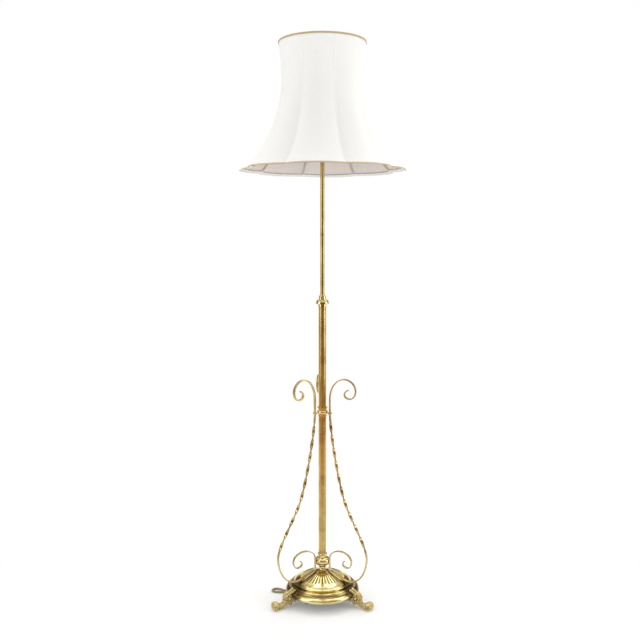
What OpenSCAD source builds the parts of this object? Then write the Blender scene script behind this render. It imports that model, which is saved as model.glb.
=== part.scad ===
// Adjustable floor lamp: a telescopic brass column on a weighted, fluted base
// with three cast scroll feet and three twisted scroll supports, under a
// tailored fabric shade with eight outward-bowed panels.
// Millimetres, +Z up. The origin is on the floor at the centre of the base.

/* [Base] */
// Radius of the rolled rim of the base
base_r = 110; // [106:1:118]
// Height of the rim's lower edge above the floor
base_lift = 25; // [24:1:30]
// Height of the dome's top above the rim's lower edge
dome_rise = 65; // [60:1:70]
// Slope of the fluted dome in degrees
dome_slope = 21; // [19:0.5:23]
// Radius of the roll along the rim
rim_roll_r = 8; // [7:0.5:9]
// Wall of the base shell under the flutes
shell_wall = 2.2; // [1.6:0.1:3]
// Number of flutes round the dome
flute_count = 40; // [30:2:40]
// Radius at which the flutes start
flute_in_r = 32; // [28:1:42]
// Radius at which the flutes end
flute_out_r = 65; // [60:1:68]
// Depth of each flute at its outer end
flute_depth = 2.2; // [1.2:0.1:2.6]
// Thickness of the steel cover under the base
cover_t = 1.5; // [1:0.5:3]
// Radius of the opening in the cover
cover_hole_r = 21; // [19:1:26]
// Radius of the pocket for the nut in the base weight
pocket_r = 18; // [17:1:24]
// Depth of the pocket for the nut
pocket_depth = 9; // [8:0.5:12]

/* [Centre rod] */
// Diameter of the hollow threaded rod
rod_d = 10; // [9:0.5:11]
// Bore of the hollow threaded rod
rod_bore = 7.6; // [7.2:0.1:8]
// Thickness of the nut under the base weight
rod_nut_t = 5; // [4:0.5:6]
// Thickness of the washer above that nut
rod_washer_t = 1.6; // [1:0.2:2]
// Radius of that washer
rod_washer_r = 15; // [12:1:16]

/* [Feet] */
// Radius from the lamp's axis to the tips of the toes
foot_reach = 167; // [162:1:180]
// Width of a toe
toe_w = 28; // [22:1:32]
// Radius of the scrolled toe
toe_r = 11; // [10:0.5:12]
// Radius of the scrolled knee
knee_r = 13.5; // [12:0.5:15]
// Width of the knee
knee_w = 22; // [18:1:26]
// Depth of the flat cut under each toe
toe_flat = 1; // [0.5:0.1:1.5]
// Radius of the screws that hold the feet
foot_screw_r = 2.5; // [2:0.5:3]

/* [Neck] */
// Height of the turned waist above the dome
waist_h = 13.5; // [11:0.5:16]
// Radius of the turned waist
waist_r = 11.7; // [10:0.1:13]
// Height of the knop with its flare
knop_h = 28.5; // [26:0.5:32]
// Largest radius of the knop
knop_r = 23.4; // [20:0.2:24]
// Height of the ring under the tube
neck_ring_h = 6; // [5:0.5:8]
// Radius of the ring under the tube
neck_ring_r = 14.7; // [13:0.1:16]

/* [Column] */
// Outer diameter of the fixed tube
tube_d = 23; // [21:0.5:25]
// Wall of the fixed tube
tube_wall = 1.2; // [1:0.1:1.6]
// Length of the fixed tube
tube_len = 746; // [720:2:780]
// Outer diameter of the sliding pole
pole_d = 13; // [12:0.5:14]
// Wall of the sliding pole
pole_wall = 1; // [0.8:0.1:1.4]
// Length of the sliding pole above the fixed tube
pole_out = 516; // [480:2:540]
// Length of the sliding pole inside the fixed tube
pole_in = 200; // [160:5:260]
// Length of the guide bush at the foot of the pole
bush_len = 25; // [18:1:35]

/* [Twisted supports] */
// Width of the flat bar of the supports
strap_w = 9; // [7:0.5:10]
// Thickness of the flat bar of the supports
strap_t = 3.8; // [3:0.1:4.5]
// Largest radius of the supports, at the belly
belly_r = 149; // [140:1:158]
// Height of the belly above the dome's top
belly_up = 55; // [48:1:62]
// Radius of the supports at the middle of their sweep
sweep_r = 74; // [66:1:82]
// Half turns of twist in each support
half_turns = 10; // [8:1:12]
// Radius of the supports at the column's collar
strap_root_r = 26; // [24:0.5:30]
// Height of the upper scroll above its straight root
scroll_rise = 61; // [50:1:68]
// Width of the upper scroll from its root
scroll_w = 80; // [70:1:90]
// Turn of the upper scrolls away from their own plane in degrees
scroll_skew = 11; // [0:1:14]

/* [Lower scroll brackets] */
// Width of the flat bar of the brackets
bracket_w = 8; // [6:0.5:9]
// Thickness of the flat bar of the brackets
bracket_t = 3; // [2:0.1:3.5]
// Width of the leaf where a bracket is screwed down
leaf_w = 17; // [12:1:20]
// Height of the bracket's scroll above the dome's top
bracket_rise = 62; // [54:1:70]
// Width of the bracket's scroll from its leg
bracket_reach = 73.5; // [64:0.5:80]
// Radius at which the bracket and the support share a screw
joint_screw_at = 66; // [62:1:70]
// Radius of that screw's shank
joint_screw_r = 2; // [1.5:0.5:2.5]
// Radius of that screw's ball head
ball_r = 3.8; // [3:0.2:5]

/* [Collars] */
// Height of the collar that holds the supports, above the dome's top
mid_collar_up = 468; // [440:2:490]
// Height of the collar that holds the supports
mid_collar_h = 27; // [24:1:32]
// Largest radius of that collar
mid_collar_r = 17; // [15:0.5:19]
// Largest radius of the clamp's domed skirt
skirt_r = 20.5; // [18:0.5:24]
// Height of the domed skirt
skirt_h = 13; // [11:0.5:16]
// Radius of the clamp nut
nut_r = 11.2; // [11:0.1:13]
// Height of the clamp nut
nut_h = 11; // [10:0.5:14]

/* [Lampholder and bulb] */
// Radius of the shell of the lampholder
holder_r = 17.5; // [17:0.5:20]
// Bore of the lampholder for the bulb's cap
holder_bore = 22.8; // [22.6:0.1:23.4]
// Diameter of the bulb's cap
bulb_cap_d = 22; // [21.8:0.1:22.2]
// Diameter of the bulb's glass
bulb_d = 60; // [50:1:66]
// Length of the push bar of the switch
switch_len = 50; // [46:1:60]
// Radius of the push bar
switch_r = 2.4; // [2:0.1:2.6]

/* [Shade and carrier] */
// Radius of the carrier's ring
carrier_r = 98; // [90:1:102]
// Height of the carrier's ring above the pole
carrier_h = 160; // [152:1:180]
// Radius of the wire of carrier and shade frame
wire_r = 1.8; // [1.4:0.1:2.2]
// Height of the shade
shade_h = 385; // [370:1:400]
// Depth at which the fitter ring sits inside the shade
fitter_drop = 105; // [95:1:115]
// Radius of the shade at its top
shade_top_r = 131.5; // [126:0.5:136]
// Radius of the shade at its waist
shade_waist_r = 123.5; // [120:0.5:128]
// Radius of the shade at its bottom, over the bowed panels
shade_bottom_r = 250; // [238:1:260]
// Depth of the notches between the panels at the bottom
notch_depth = 25; // [16:1:30]
// Number of panels
panel_count = 8; // [6:1:8]
// Thickness of the cover's fabric
fabric_t = 0.8; // [0.6:0.1:1.2]
// Width of the braid on both rims
braid_w = 5; // [4:0.5:8]

/* [Flex] */
// Diameter of the flex
flex_d = 6; // [5.6:0.1:6.4]
// Radius of the coil's widest turn
coil_r = 43; // [42:0.5:44]
// Turns in the coil: half a turn more than a whole number
coil_turns = 8.5; // [6.5:1:8.5]
// Clear space between neighbouring turns
coil_gap = 0.5; // [0.45:0.05:0.8]
// Length of the plug's body
plug_len = 34; // [30:1:36]
// Width of the plug's body
plug_w = 33; // [28:1:36]
// Thickness of the plug's body
plug_t = 13.7; // [13:0.1:15]

/* [Fits] */
// Radial clearance of a running fit
run_fit = 0.06; // [0.02:0.01:0.1]
// Clearance between seated pieces
seat_gap = 0.2; // [0.1:0.05:0.4]
// Clearance between pieces that move past each other
move_gap = 0.35; // [0.3:0.05:0.6]

/* [Hidden] */

$fn = 64;
BRASS = "#d9b65c";
DARK_BRASS = "#b8923c";
STEEL = "#8d9094";
IRON = "#3f4042";
WHITE = "#f7f5f0";
BRAID = "#a98a55";
CORD = "#8a7a55";
BLACK = "#26241f";

// Azimuths of the three feet, brackets and supports
LEFT = 210;
RIGHT = 330;
REAR = 90;

// Heights up the base and neck
rim_z = base_lift;
dome_z = rim_z + dome_rise;
waist_z = dome_z + waist_h;
knop_z = waist_z + knop_h;
tube_z = knop_z + neck_ring_h;
tube_top = tube_z + tube_len;
tube_r = tube_d / 2;
tube_in_r = tube_r - tube_wall;
rod_r = rod_d / 2;
rod_hole_r = rod_r + seat_gap;
pole_r = pole_d / 2;
pole_in_r = pole_r - pole_wall;
flex_r = flex_d / 2;

// Outline of the base: the dome's cone, then the mouldings out to the rim
neck_seat_r = 13;
roof_t = shell_wall + flute_depth;
rim_in_r = base_r - rim_roll_r - 3;
cover_r = rim_in_r - seat_gap;
ridge_r = 3.2;
bead_r = 2.6;
cavetto_r = 6;
ridge_at = [base_r - 27, rim_z + 31];
bead_at = [base_r - 17, rim_z + 24];
roll_at = [base_r - rim_roll_r, rim_z + rim_roll_r];
cavetto_at = roll_at + [0.5, rim_roll_r + cavetto_r + 1];

function dome_at(r) = dome_z - (r - neck_seat_r) * tan(dome_slope);
function on_dome(r, h) = [r + h * sin(dome_slope), dome_at(r) + h * cos(dome_slope)];

// Points of a cubic curve with the end points a and d and the handles b and c
function cubic(a, b, c, d, n) = [for (i = [0:n]) let (t = i / n)
    pow(1 - t, 3) * a + 3 * t * pow(1 - t, 2) * b + 3 * t * t * (1 - t) * c + pow(t, 3) * d];

// Quarter of an ellipse from p to q that leaves p upright or level
function quarter(p, q, upright, n) = [for (i = [0:n]) let (a = 90 * i / n)
    upright
        ? [p[0] + (q[0] - p[0]) * (1 - cos(a)), p[1] + (q[1] - p[1]) * sin(a)]
        : [p[0] + (q[0] - p[0]) * sin(a), p[1] + (q[1] - p[1]) * (1 - cos(a))]];

// Points of an arc round c from the angle a0 to a1
function arc(c, r, a0, a1, n) = [for (i = [0:n]) let (a = a0 + (a1 - a0) * i / n)
    c + r * [cos(a), sin(a)]];

function tail(list) = [for (i = [1:len(list) - 1]) list[i]];
function unit(v) = v / norm(v);

// Running length along a list of points
function run(p) = [for (i = 0, s = 0; i < len(p);
    i = i + 1, s = s + (i < len(p) ? norm(p[i] - p[i - 1]) : 0)) s];

// Direction of a list of points at each point
function headings(p) = [for (i = [0:len(p) - 1])
    unit(p[min(i + 1, len(p) - 1)] - p[max(i - 1, 0)])];

// Skin over rings of points that all have the same count. Each ring turns
// anticlockwise as seen from further along. A closed skin returns to its start.
// Each four-sided patch is cut along its shorter diagonal.
module skin(rings, closed = false) {
    n = len(rings);
    m = len(rings[0]);
    last = closed ? n - 1 : n - 2;
    sides = [for (i = [0:last], j = [0:m - 1])
        let (k = (i + 1) % n, l = (j + 1) % m, a = i * m + j, b = k * m + j,
            c = k * m + l, d = i * m + l,
            fore = norm(rings[k][l] - rings[i][j]) <= norm(rings[k][j] - rings[i][l]))
        each (fore ? [[a, b, c], [a, c, d]] : [[a, b, d], [b, c, d]])];
    caps = closed ? [] : [[for (j = [0:m - 1]) j],
        [for (j = [m - 1:-1:0]) (n - 1) * m + j]];
    polyhedron(points = [for (ring = rings, p = ring) p], faces = concat(sides, caps));
}

// Flat bar bent in an upright plane along (radius, height) points. Each point
// has its width, its twist and the skew of its plane about the root radius.
module flat_bar(path, widths, thick, twists, skews, root_r) {
    dirs = headings(path);
    skin([for (i = [0:len(path) - 1])
        let (p = path[i], n = [-dirs[i][1], dirs[i][0]], w = widths[i] / 2, t = thick / 2)
        [for (c = [[-w, -t], [w, -t], [w, t], [-w, t]])
            let (u = c[0] * cos(twists[i]) - c[1] * sin(twists[i]),
                v = c[0] * sin(twists[i]) + c[1] * cos(twists[i]),
                x = p[0] + v * n[0] - root_r, k = skews[i])
            [root_r + x * cos(k) - u * sin(k), x * sin(k) + u * cos(k), p[1] + v * n[1]]]]);
}

// Round tube swept along points in space, with its section carried along
module swept_tube(points, r, sides) {
    dirs = headings(points);
    start = unit(cross(dirs[0], [0.31, 0.87, 0.38]));
    across = [for (i = 0, e = start; i < len(points); i = i + 1,
        e = i < len(points) ? unit(e - (e * dirs[i]) * dirs[i]) : e) e];
    skin([for (i = [0:len(points) - 1]) let (a = across[i], b = cross(dirs[i], a))
        [for (j = [0:sides - 1]) points[i]
            + r * cos(360 * j / sides) * a + r * sin(360 * j / sides) * b]]);
}

// Plain turned ring between two heights
module ring(r_in, r_out, z0, z1) {
    translate([0, 0, z0]) difference() {
        cylinder(r = r_out, h = z1 - z0);
        translate([0, 0, -1]) cylinder(r = r_in, h = z1 - z0 + 2);
    }
}

module torus(r, wire, z) {
    translate([0, 0, z]) rotate_extrude() translate([r, 0]) circle(r = wire, $fn = 24);
}

module thirds() {
    for (a = [LEFT, RIGHT, REAR]) rotate([0, 0, a]) children();
}

module on_slope(r, h) {
    p = on_dome(r, h);
    translate([p[0], 0, p[1]]) rotate([0, dome_slope, 0]) children();
}

// Base

module base_outline() {
    start = [flute_out_r + 2, dome_at(flute_out_r + 2)];
    crest = ridge_at + ridge_r * [cos(75), sin(75)];
    shoulder = cubic(start, start + 9 * [cos(dome_slope), -sin(dome_slope)],
        crest + [-3, 5], crest, 8);
    polygon(concat([[0, rim_z], [0, dome_z], [neck_seat_r, dome_z]], shoulder,
        tail(arc(ridge_at, ridge_r, 75, -80, 8)), arc(bead_at, bead_r, 100, -30, 7),
        arc(cavetto_at, cavetto_r, 183, 270, 7), arc(roll_at, rim_roll_r, 86, -90, 12)));
}

// Section of the hollow under the shell, drawn in by a gap, from the height z0
function hollow(gap, z0) = [[0, z0], [rim_in_r - gap, z0],
    [rim_in_r - gap, rim_z + 12 - gap], [base_r - 20 - gap, rim_z + 19 - gap],
    [base_r - 30 - gap, rim_z + 28 - gap],
    [flute_out_r - gap, dome_at(flute_out_r) - roof_t / cos(dome_slope) - gap],
    [neck_seat_r, dome_z - roof_t / cos(dome_slope) - gap],
    [0, dome_z - roof_t / cos(dome_slope) - gap]];

// Cutter of one flute: a long cone along the slope with a short one at its end
module flute() {
    half_in = flute_pitch_in * 0.4;
    half_out = flute_pitch_out * 0.42;
    depth_in = flute_depth * half_in / half_out;
    r_in = (half_in * half_in + depth_in * depth_in) / (2 * depth_in);
    r_out = (half_out * half_out + flute_depth * flute_depth) / (2 * flute_depth);
    p = on_dome(flute_in_r, r_in - depth_in);
    q = on_dome(flute_out_r - r_out * 0.4, r_out - flute_depth);
    reach = norm(q - p);
    translate([p[0], 0, p[1]]) rotate([0, 90 + atan2(p[1] - q[1], q[0] - p[0]), 0])
        rotate_extrude() polygon([[0, 0], [r_in, 0], [r_out, reach],
            [0.5 * r_out, reach + 0.8 * r_out], [0, reach + 0.8 * r_out]]);
}
flute_pitch_in = 2 * PI * flute_in_r / flute_count;
flute_pitch_out = 2 * PI * flute_out_r / flute_count;

module rod_between(p, q, r1, r2) {
    d = q - p;
    translate(p) rotate([0, acos(d[2] / norm(d)), atan2(d[1], d[0])])
        cylinder(r1 = r1, r2 = r2, h = norm(d));
}

module base_shell() color(BRASS) difference() {
    rotate_extrude() difference() {
        base_outline();
        polygon(hollow(0, rim_z - 1));
        translate([0, dome_z - 20]) square([rod_hole_r, 30]);
    }
    for (i = [0:flute_count - 1]) rotate([0, 0, 360 * (i + 0.5) / flute_count])
        flute($fn = 32);
    thirds() on_slope(joint_screw_at, -2 * roof_t)
        cylinder(r = joint_screw_r + seat_gap, h = 3 * roof_t);
}

module foot_screw_holes() {
    thirds() translate([foot_screw_at, 0, 0])
        cylinder(r = foot_screw_r + seat_gap, h = rim_z + foot_screw_grip + 1);
}
foot_screw_at = base_r - 20;
foot_screw_grip = 14;

module base_weight() color(IRON) difference() {
    rotate_extrude() difference() {
        polygon(hollow(seat_gap, rim_z + cover_t));
        square([rod_hole_r, dome_z]);
        square([pocket_r, rim_z + cover_t + pocket_depth]);
    }
    foot_screw_holes();
}

module base_cover() color(STEEL) difference() {
    ring(cover_hole_r, cover_r, rim_z, rim_z + cover_t);
    foot_screw_holes();
}

// Rod through the base and neck, with its nut, washer and flex bush

pocket_top = rim_z + cover_t + pocket_depth;
rod_foot_z = rim_z + 1;
rod_top_z = tube_z + 12;
flex_exit_z = rod_foot_z - 2.5;

module centre_rod() color(BRASS) ring(rod_bore / 2, rod_r, rod_foot_z, rod_top_z);

module rod_washer() color(STEEL)
    ring(rod_hole_r, rod_washer_r, pocket_top - rod_washer_t, pocket_top);

module rod_nut() color(STEEL) translate([0, 0, pocket_top - rod_washer_t - rod_nut_t])
    difference() {
        cylinder(r = rod_r + 4.8, h = rod_nut_t, $fn = 6);
        translate([0, 0, -1]) cylinder(r = rod_hole_r, h = rod_nut_t + 2);
    }

module flex_bush() color(BLACK) rotate_extrude() polygon([
    [flex_r + seat_gap / 2, flex_exit_z], [rod_r - 0.6, flex_exit_z],
    [rod_r + 0.8, flex_exit_z + 1], [rod_r + 0.8, rod_foot_z],
    [rod_bore / 2 - seat_gap / 2, rod_foot_z], [rod_bore / 2 - seat_gap / 2, rod_foot_z + 8],
    [flex_r + seat_gap / 2, rod_foot_z + 8]]);

// Feet: a scrolled knee that grips the rim with a leaf, and an upturned toe

pad_t = 5;
screw_head_r = foot_screw_r + 2.1;
knee_at = [base_r + 7.5, rim_z + 3.5];
toe_at = [foot_reach - toe_r, toe_r - toe_flat];

module side_slab(w) {
    rotate([90, 0, 0]) translate([0, 0, -w / 2]) linear_extrude(w) children();
}

// Short barrel across the foot with rounded ends
module barrel(at, r, w, soft) {
    translate([at[0], 0, at[1]]) rotate([90, 0, 0]) rotate_extrude() {
        translate([0, -w / 2]) square([r - soft, w]);
        translate([0, soft - w / 2]) square([r, w - 2 * soft]);
        for (s = [-1, 1]) translate([r - soft, s * (w / 2 - soft)]) circle(r = soft);
    }
}

module foot_leg() {
    from_knee = knee_at + knee_r * [cos(-20), sin(-20)];
    to_toe = toe_at + toe_r * [cos(150), sin(150)];
    heel = knee_at + knee_r * [cos(250), sin(250)];
    polygon(concat(
        cubic(from_knee, from_knee + [3, -9], to_toe + [-9, -4], to_toe, 8),
        [toe_at, [toe_at[0], 0]],
        cubic([toe_at[0] - 8, 0], [toe_at[0] - 20, 0.5], heel + [7, -6], heel, 8),
        [knee_at]));
}

module foot_web() {
    tip = [base_r - 11.5, rim_z + 20.5];
    polygon([tip, knee_at + [-5, knee_r - 1.2], knee_at + [0, knee_r], knee_at,
        knee_at + [-3, -knee_r], [base_r - 12, rim_z - 8], [base_r - 12, rim_z]]);
    translate([base_r + 1.5, rim_z - 12.5]) circle(r = 5.5);
    translate([base_r - 11.5, rim_z - 6.5]) circle(r = 4.8);
}

module foot_form() {
    side_slab(16) foot_leg();
    side_slab(knee_w - 3) foot_web();
    barrel(knee_at, knee_r, knee_w, 4);
    barrel(toe_at, toe_r, toe_w, 5.2);
    for (s = [-1, 1]) {
        translate([knee_at[0], s * knee_w / 2, knee_at[1]]) sphere(r = 3.8);
        finger = [base_r - 11.5, s * 6.5, rim_z + 20.5];
        translate(finger) sphere(r = 5);
        rod_between(finger, [knee_at[0] - 4, s * 5, knee_at[1] + knee_r - 5], 5, 5.5);
    }
    translate([foot_screw_at, 0, rim_z - pad_t]) cylinder(r = 8, h = pad_t);
    translate([foot_screw_at, -8, rim_z - pad_t]) cube([base_r - foot_screw_at, 16, pad_t]);
}

module foot() color(BRASS) difference() {
    foot_form();
    rotate_extrude() base_outline();
    translate([0, -50, -50]) cube([foot_reach + 50, 100, 50]);
    translate([foot_screw_at, 0, 0]) cylinder(r = foot_screw_r + seat_gap, h = rim_z + 1);
    translate([foot_screw_at, 0, 0]) cylinder(r = screw_head_r + seat_gap, h = rim_z - pad_t);
    for (s = [-1, 1]) translate([knee_at[0], s * knee_w / 2, knee_at[1]])
        rotate([90, 0, 0]) rotate_extrude() translate([7.5, 0]) circle(r = 1.1);
    translate([toe_at[0], 0, toe_at[1]]) rotate([0, -150, 0])
        translate([toe_r + 0.4, -50, 0]) rotate([-90, 0, 0]) cylinder(r = 1.6, h = 100);
}

module foot_left() rotate([0, 0, LEFT]) foot();
module foot_right() rotate([0, 0, RIGHT]) foot();
module foot_rear() rotate([0, 0, REAR]) foot();

module foot_screws() color(STEEL) thirds() translate([foot_screw_at, 0, rim_z - pad_t]) {
    cylinder(r = foot_screw_r, h = pad_t + foot_screw_grip);
    translate([0, 0, -2.6]) cylinder(r1 = screw_head_r - 0.8, r2 = screw_head_r, h = 2.6);
}

// Turned neck

module neck_waist() color(BRASS) rotate_extrude() difference() {
    translate([rod_hole_r, dome_z]) square([waist_r + 0.8 - rod_hole_r, waist_h]);
    translate([waist_r + 10.4, dome_z + waist_h / 2]) circle(r = 11);
}

module neck_knop() color(BRASS) rotate_extrude() {
    wide_z = waist_z + 10.5;
    throat = [waist_r + 0.3, knop_z - 6];
    polygon(concat([[rod_hole_r, waist_z]],
        quarter([waist_r + 0.8, waist_z], [knop_r, wide_z], false, 12),
        quarter([knop_r, wide_z + 1.5], throat, true, 14),
        [[throat[0], knop_z], [rod_hole_r, knop_z]]));
}

module neck_ring() color(BRASS) rotate_extrude() {
    round_r = neck_ring_h / 2;
    translate([rod_hole_r, knop_z]) square([neck_ring_r - round_r - rod_hole_r, neck_ring_h]);
    translate([neck_ring_r - round_r, knop_z + round_r]) circle(r = round_r);
}

// Lower scroll brackets and the ball-headed screws

leg_r = knop_r + bracket_t / 2 + seat_gap;
bracket_lift = bracket_t / 2 + seat_gap / 2;
leg_foot_z = dome_z + 3;
leg_top_z = dome_z + 35;

function leaf_width(r) = r > joint_screw_at
    ? leaf_w * sqrt(1.04 - pow((r - joint_screw_at) / 6, 2))
    : bracket_w + (leaf_w - bracket_w) * pow(max(0, r - 30) / (joint_screw_at - 30), 1.4);

module bracket() color(BRASS) {
    leaf_rs = [for (s = [6, 5, 3, 0, -6, -12, -18, -24, -30]) joint_screw_at + s];
    leaf = [for (r = leaf_rs) on_dome(r, bracket_lift)];
    heel = leaf[len(leaf) - 1];
    bend = cubic(heel, heel + 7 * [-cos(dome_slope), sin(dome_slope)],
        [leg_r, leg_foot_z - 5], [leg_r, leg_foot_z], 5);
    apex = [leg_r + 0.5 * bracket_reach, dome_z + bracket_rise];
    outer = [leg_r + bracket_reach, dome_z + 0.58 * bracket_rise];
    under = [leg_r + 0.82 * bracket_reach, dome_z + 0.28 * bracket_rise];
    inner = [leg_r + 0.61 * bracket_reach, dome_z + 0.42 * bracket_rise];
    tip = [leg_r + 0.71 * bracket_reach, dome_z + 0.58 * bracket_rise];
    curl = concat(quarter([leg_r, leg_top_z], apex, true, 10),
        tail(quarter(apex, outer, false, 9)), tail(quarter(outer, under, true, 7)),
        tail(quarter(under, inner, false, 6)), tail(quarter(inner, tip, true, 5)));
    path = concat(leaf, tail(bend), curl);
    widths = concat([for (r = leaf_rs) leaf_width(r)],
        [for (i = [1:len(path) - len(leaf)]) bracket_w]);
    flat = [for (p = path) 0];
    difference() {
        flat_bar(path, widths, bracket_t, flat, flat, leg_r);
        on_slope(joint_screw_at, -5) cylinder(r = joint_screw_r + seat_gap, h = 20);
    }
}

module bracket_left() rotate([0, 0, LEFT]) bracket();
module bracket_right() rotate([0, 0, RIGHT]) bracket();
module bracket_rear() rotate([0, 0, REAR]) bracket();

module ball_screws() color(BRASS) thirds() {
    seat = bracket_t + strap_t + 1.5 * seat_gap;
    on_slope(joint_screw_at, 0.4 - roof_t) cylinder(r = joint_screw_r, h = seat + roof_t - 0.4);
    on_slope(joint_screw_at, seat) intersection() {
        translate([0, 0, ball_r * 0.8]) sphere(r = ball_r);
        cylinder(r = 2 * ball_r, h = 3 * ball_r);
    }
}

// Twisted supports: from the shared screw out to the belly, in to the collar
// and over into the upper scroll

strap_lift = bracket_t + seat_gap + strap_t / 2;
belly = [belly_r, dome_z + belly_up];
collar_z = dome_z + mid_collar_up;
root = [strap_root_r, collar_z];
sweep = [sweep_r, belly[1] + 0.39 * (collar_z - belly[1])];
root_rise = 42;
scroll_z = collar_z + root_rise;

module support() color(BRASS) {
    flat_end = [for (s = [-0.55, -0.1, 0.2, 0.55])
        on_dome(joint_screw_at + s * strap_w, strap_lift)];
    start = flat_end[3];
    lean = [-sin(20), cos(20)];
    rise_run = norm(sweep - belly);
    draw_run = norm(root - sweep);
    hook = cubic(start, start + 0.66 * (belly[0] - start[0]) * [cos(dome_slope), -sin(dome_slope)],
        belly - [0, 0.73 * belly_up], belly, 14);
    rise = cubic(belly, belly + [0, 0.21 * rise_run], sweep - 0.32 * rise_run * lean, sweep, 40);
    draw_in = cubic(sweep, sweep + 0.24 * draw_run * lean, root - [0, 0.2 * draw_run], root, 52);
    leg = [for (s = [0.15, 0.4, 0.7]) root + [0, s * (scroll_z - collar_z)]];
    apex = [root[0] + 0.55 * scroll_w, scroll_z + scroll_rise];
    outer = [root[0] + scroll_w, scroll_z + 0.44 * scroll_rise];
    under = [root[0] + 0.77 * scroll_w, scroll_z + 0.06 * scroll_rise];
    inner = [root[0] + 0.57 * scroll_w, scroll_z + 0.25 * scroll_rise];
    tip = [root[0] + 0.73 * scroll_w, scroll_z + 0.48 * scroll_rise];
    curl = concat(quarter([root[0], scroll_z], apex, true, 11),
        tail(quarter(apex, outer, false, 9)), tail(quarter(outer, under, true, 7)),
        tail(quarter(under, inner, false, 6)), tail(quarter(inner, tip, true, 6)));
    path = concat(flat_end, tail(hook), tail(rise), tail(draw_in), leg, curl);
    along = run(path);
    twist_from = along[len(flat_end) + len(hook) - 2] + 2.8 * strap_w;
    twist_to = along[len(flat_end) + len(hook) + len(rise) + len(draw_in) - 4] - 3.1 * strap_w;
    twists = [for (s = along)
        180 * half_turns * min(1, max(0, (s - twist_from) / (twist_to - twist_from)))];
    skews = [for (p = path)
        scroll_skew * min(1, max(0, (p[1] - collar_z) / root_rise - 0.14) / 0.7)];
    difference() {
        flat_bar(path, [for (p = path) strap_w], strap_t, twists, skews, root[0]);
        on_slope(joint_screw_at, 0) cylinder(r = joint_screw_r + seat_gap, h = 20);
    }
}

module support_left() rotate([0, 0, LEFT]) support();
module support_right() rotate([0, 0, RIGHT]) support();
module support_rear() rotate([0, 0, REAR]) support();

// Column

module tube_plug() color(BRASS)
    ring(rod_hole_r, tube_in_r - seat_gap / 2, tube_z + 0.2, tube_z + 14);

module outer_tube() color(BRASS) ring(tube_in_r, tube_r, tube_z, tube_top);

clip_wall = 1.6;
clip_half = strap_t / 2 + seat_gap + clip_wall;

module mid_collar() color(BRASS) {
    foot_z = collar_z - 10;
    head_z = foot_z + mid_collar_h;
    in_r = tube_r + seat_gap / 2;
    rotate_extrude() difference() {
        union() {
            translate([in_r, foot_z]) square([2.1, 2.4]);
            translate([in_r, foot_z]) square([1.1, mid_collar_h]);
            translate([mid_collar_r - 6, foot_z + 12.5]) circle(r = 6);
            translate([in_r, foot_z + 17]) square([2, head_z - foot_z - 17]);
            translate([in_r, head_z - 3]) square([4.2, 3]);
        }
        square([in_r, tube_top]);
    }
    thirds() translate([mid_collar_r - 4, 0, collar_z]) rotate([0, 90, 0])
        cylinder(r = 2.2, h = root[0] - clip_half - mid_collar_r + 4);
}

module strap_clips() color(BRASS) thirds() translate([root[0], 0, collar_z]) {
    w = strap_w + 2 * seat_gap;
    difference() {
        translate([-clip_half, -w / 2 - clip_wall, -2.5])
            cube([2 * clip_half, w + 2 * clip_wall, 5]);
        translate([clip_wall - clip_half, -w / 2, -4])
            cube([2 * (clip_half - clip_wall), w, 8]);
    }
    translate([clip_half + 1.2, 0, 0]) intersection() {
        sphere(r = 2.4);
        translate([-1.2, -3, -3]) cube([6, 6, 6]);
    }
}

// Clamp at the top of the fixed tube

spigot_r = nut_r - 2.4;
collet_bore_r = pole_r + run_fit + 1.24;
collet_r = collet_bore_r - seat_gap / 2;
skirt_top = tube_top + skirt_h;
spigot_top = skirt_top + nut_h * 0.6;
collet_top = skirt_top + nut_h + 3;
head_r = collet_r + 0.7;

module clamp_collar() color(BRASS) rotate_extrude() {
    sleeve_r = tube_r + 1.6;
    seat_r = tube_r + seat_gap / 2;
    polygon(concat([[seat_r, tube_top - 8], [sleeve_r, tube_top - 8], [sleeve_r, tube_top - 1],
        [skirt_r, tube_top]],
        quarter([skirt_r, tube_top + 1], [nut_r + 0.3, skirt_top], true, 10),
        [[spigot_r, skirt_top], [spigot_r, spigot_top], [collet_bore_r, spigot_top],
        [collet_bore_r, tube_top + seat_gap], [seat_r, tube_top + seat_gap]]));
}

module collet() color(BRASS) difference() {
    rotate_extrude() polygon(concat(
        [[pole_r + run_fit, tube_top + 1], [collet_r, tube_top + 1],
        [collet_r, spigot_top + 0.3], [head_r, spigot_top + 0.3], [head_r, collet_top - 3]],
        quarter([head_r, collet_top - 3], [pole_r + 0.6, collet_top], true, 6),
        [[pole_r + run_fit, collet_top]]));
    for (a = [45, 135]) rotate([0, 0, a])
        translate([-20, -0.7, skirt_top - 2]) cube([40, 1.4, nut_h + 10]);
}

module clamp_nut() color(BRASS) {
    foot_z = skirt_top + move_gap;
    top_z = foot_z + nut_h;
    soft = 2;
    difference() {
        rotate_extrude() difference() {
            union() {
                translate([0, foot_z]) square([nut_r, nut_h - soft]);
                translate([0, foot_z]) square([nut_r - soft, nut_h]);
                translate([nut_r - soft, top_z - soft]) circle(r = soft);
            }
            translate([0, foot_z - 1])
                square([spigot_r + move_gap, spigot_top + 0.3 - foot_z + 1 + move_gap]);
            square([head_r + move_gap, collet_top + 5]);
        }
        for (i = [0:15]) rotate([0, 0, 22.5 * i])
            translate([nut_r + 0.5, 0, foot_z + 1.5]) cylinder(r = 0.9, h = nut_h, $fn = 16);
    }
}

// Sliding pole with its guide bush

pole_foot = tube_top - pole_in;
pole_top = tube_top + pole_out;
bush_z = pole_foot + 4 + move_gap;
ring_out_r = tube_in_r - 0.9;

module inner_pole() color(BRASS) ring(pole_in_r, pole_r, pole_foot, pole_top);

module pole_bush() color("ivory")
    ring(pole_r + run_fit, tube_in_r - run_fit, bush_z, bush_z + bush_len);

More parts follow.
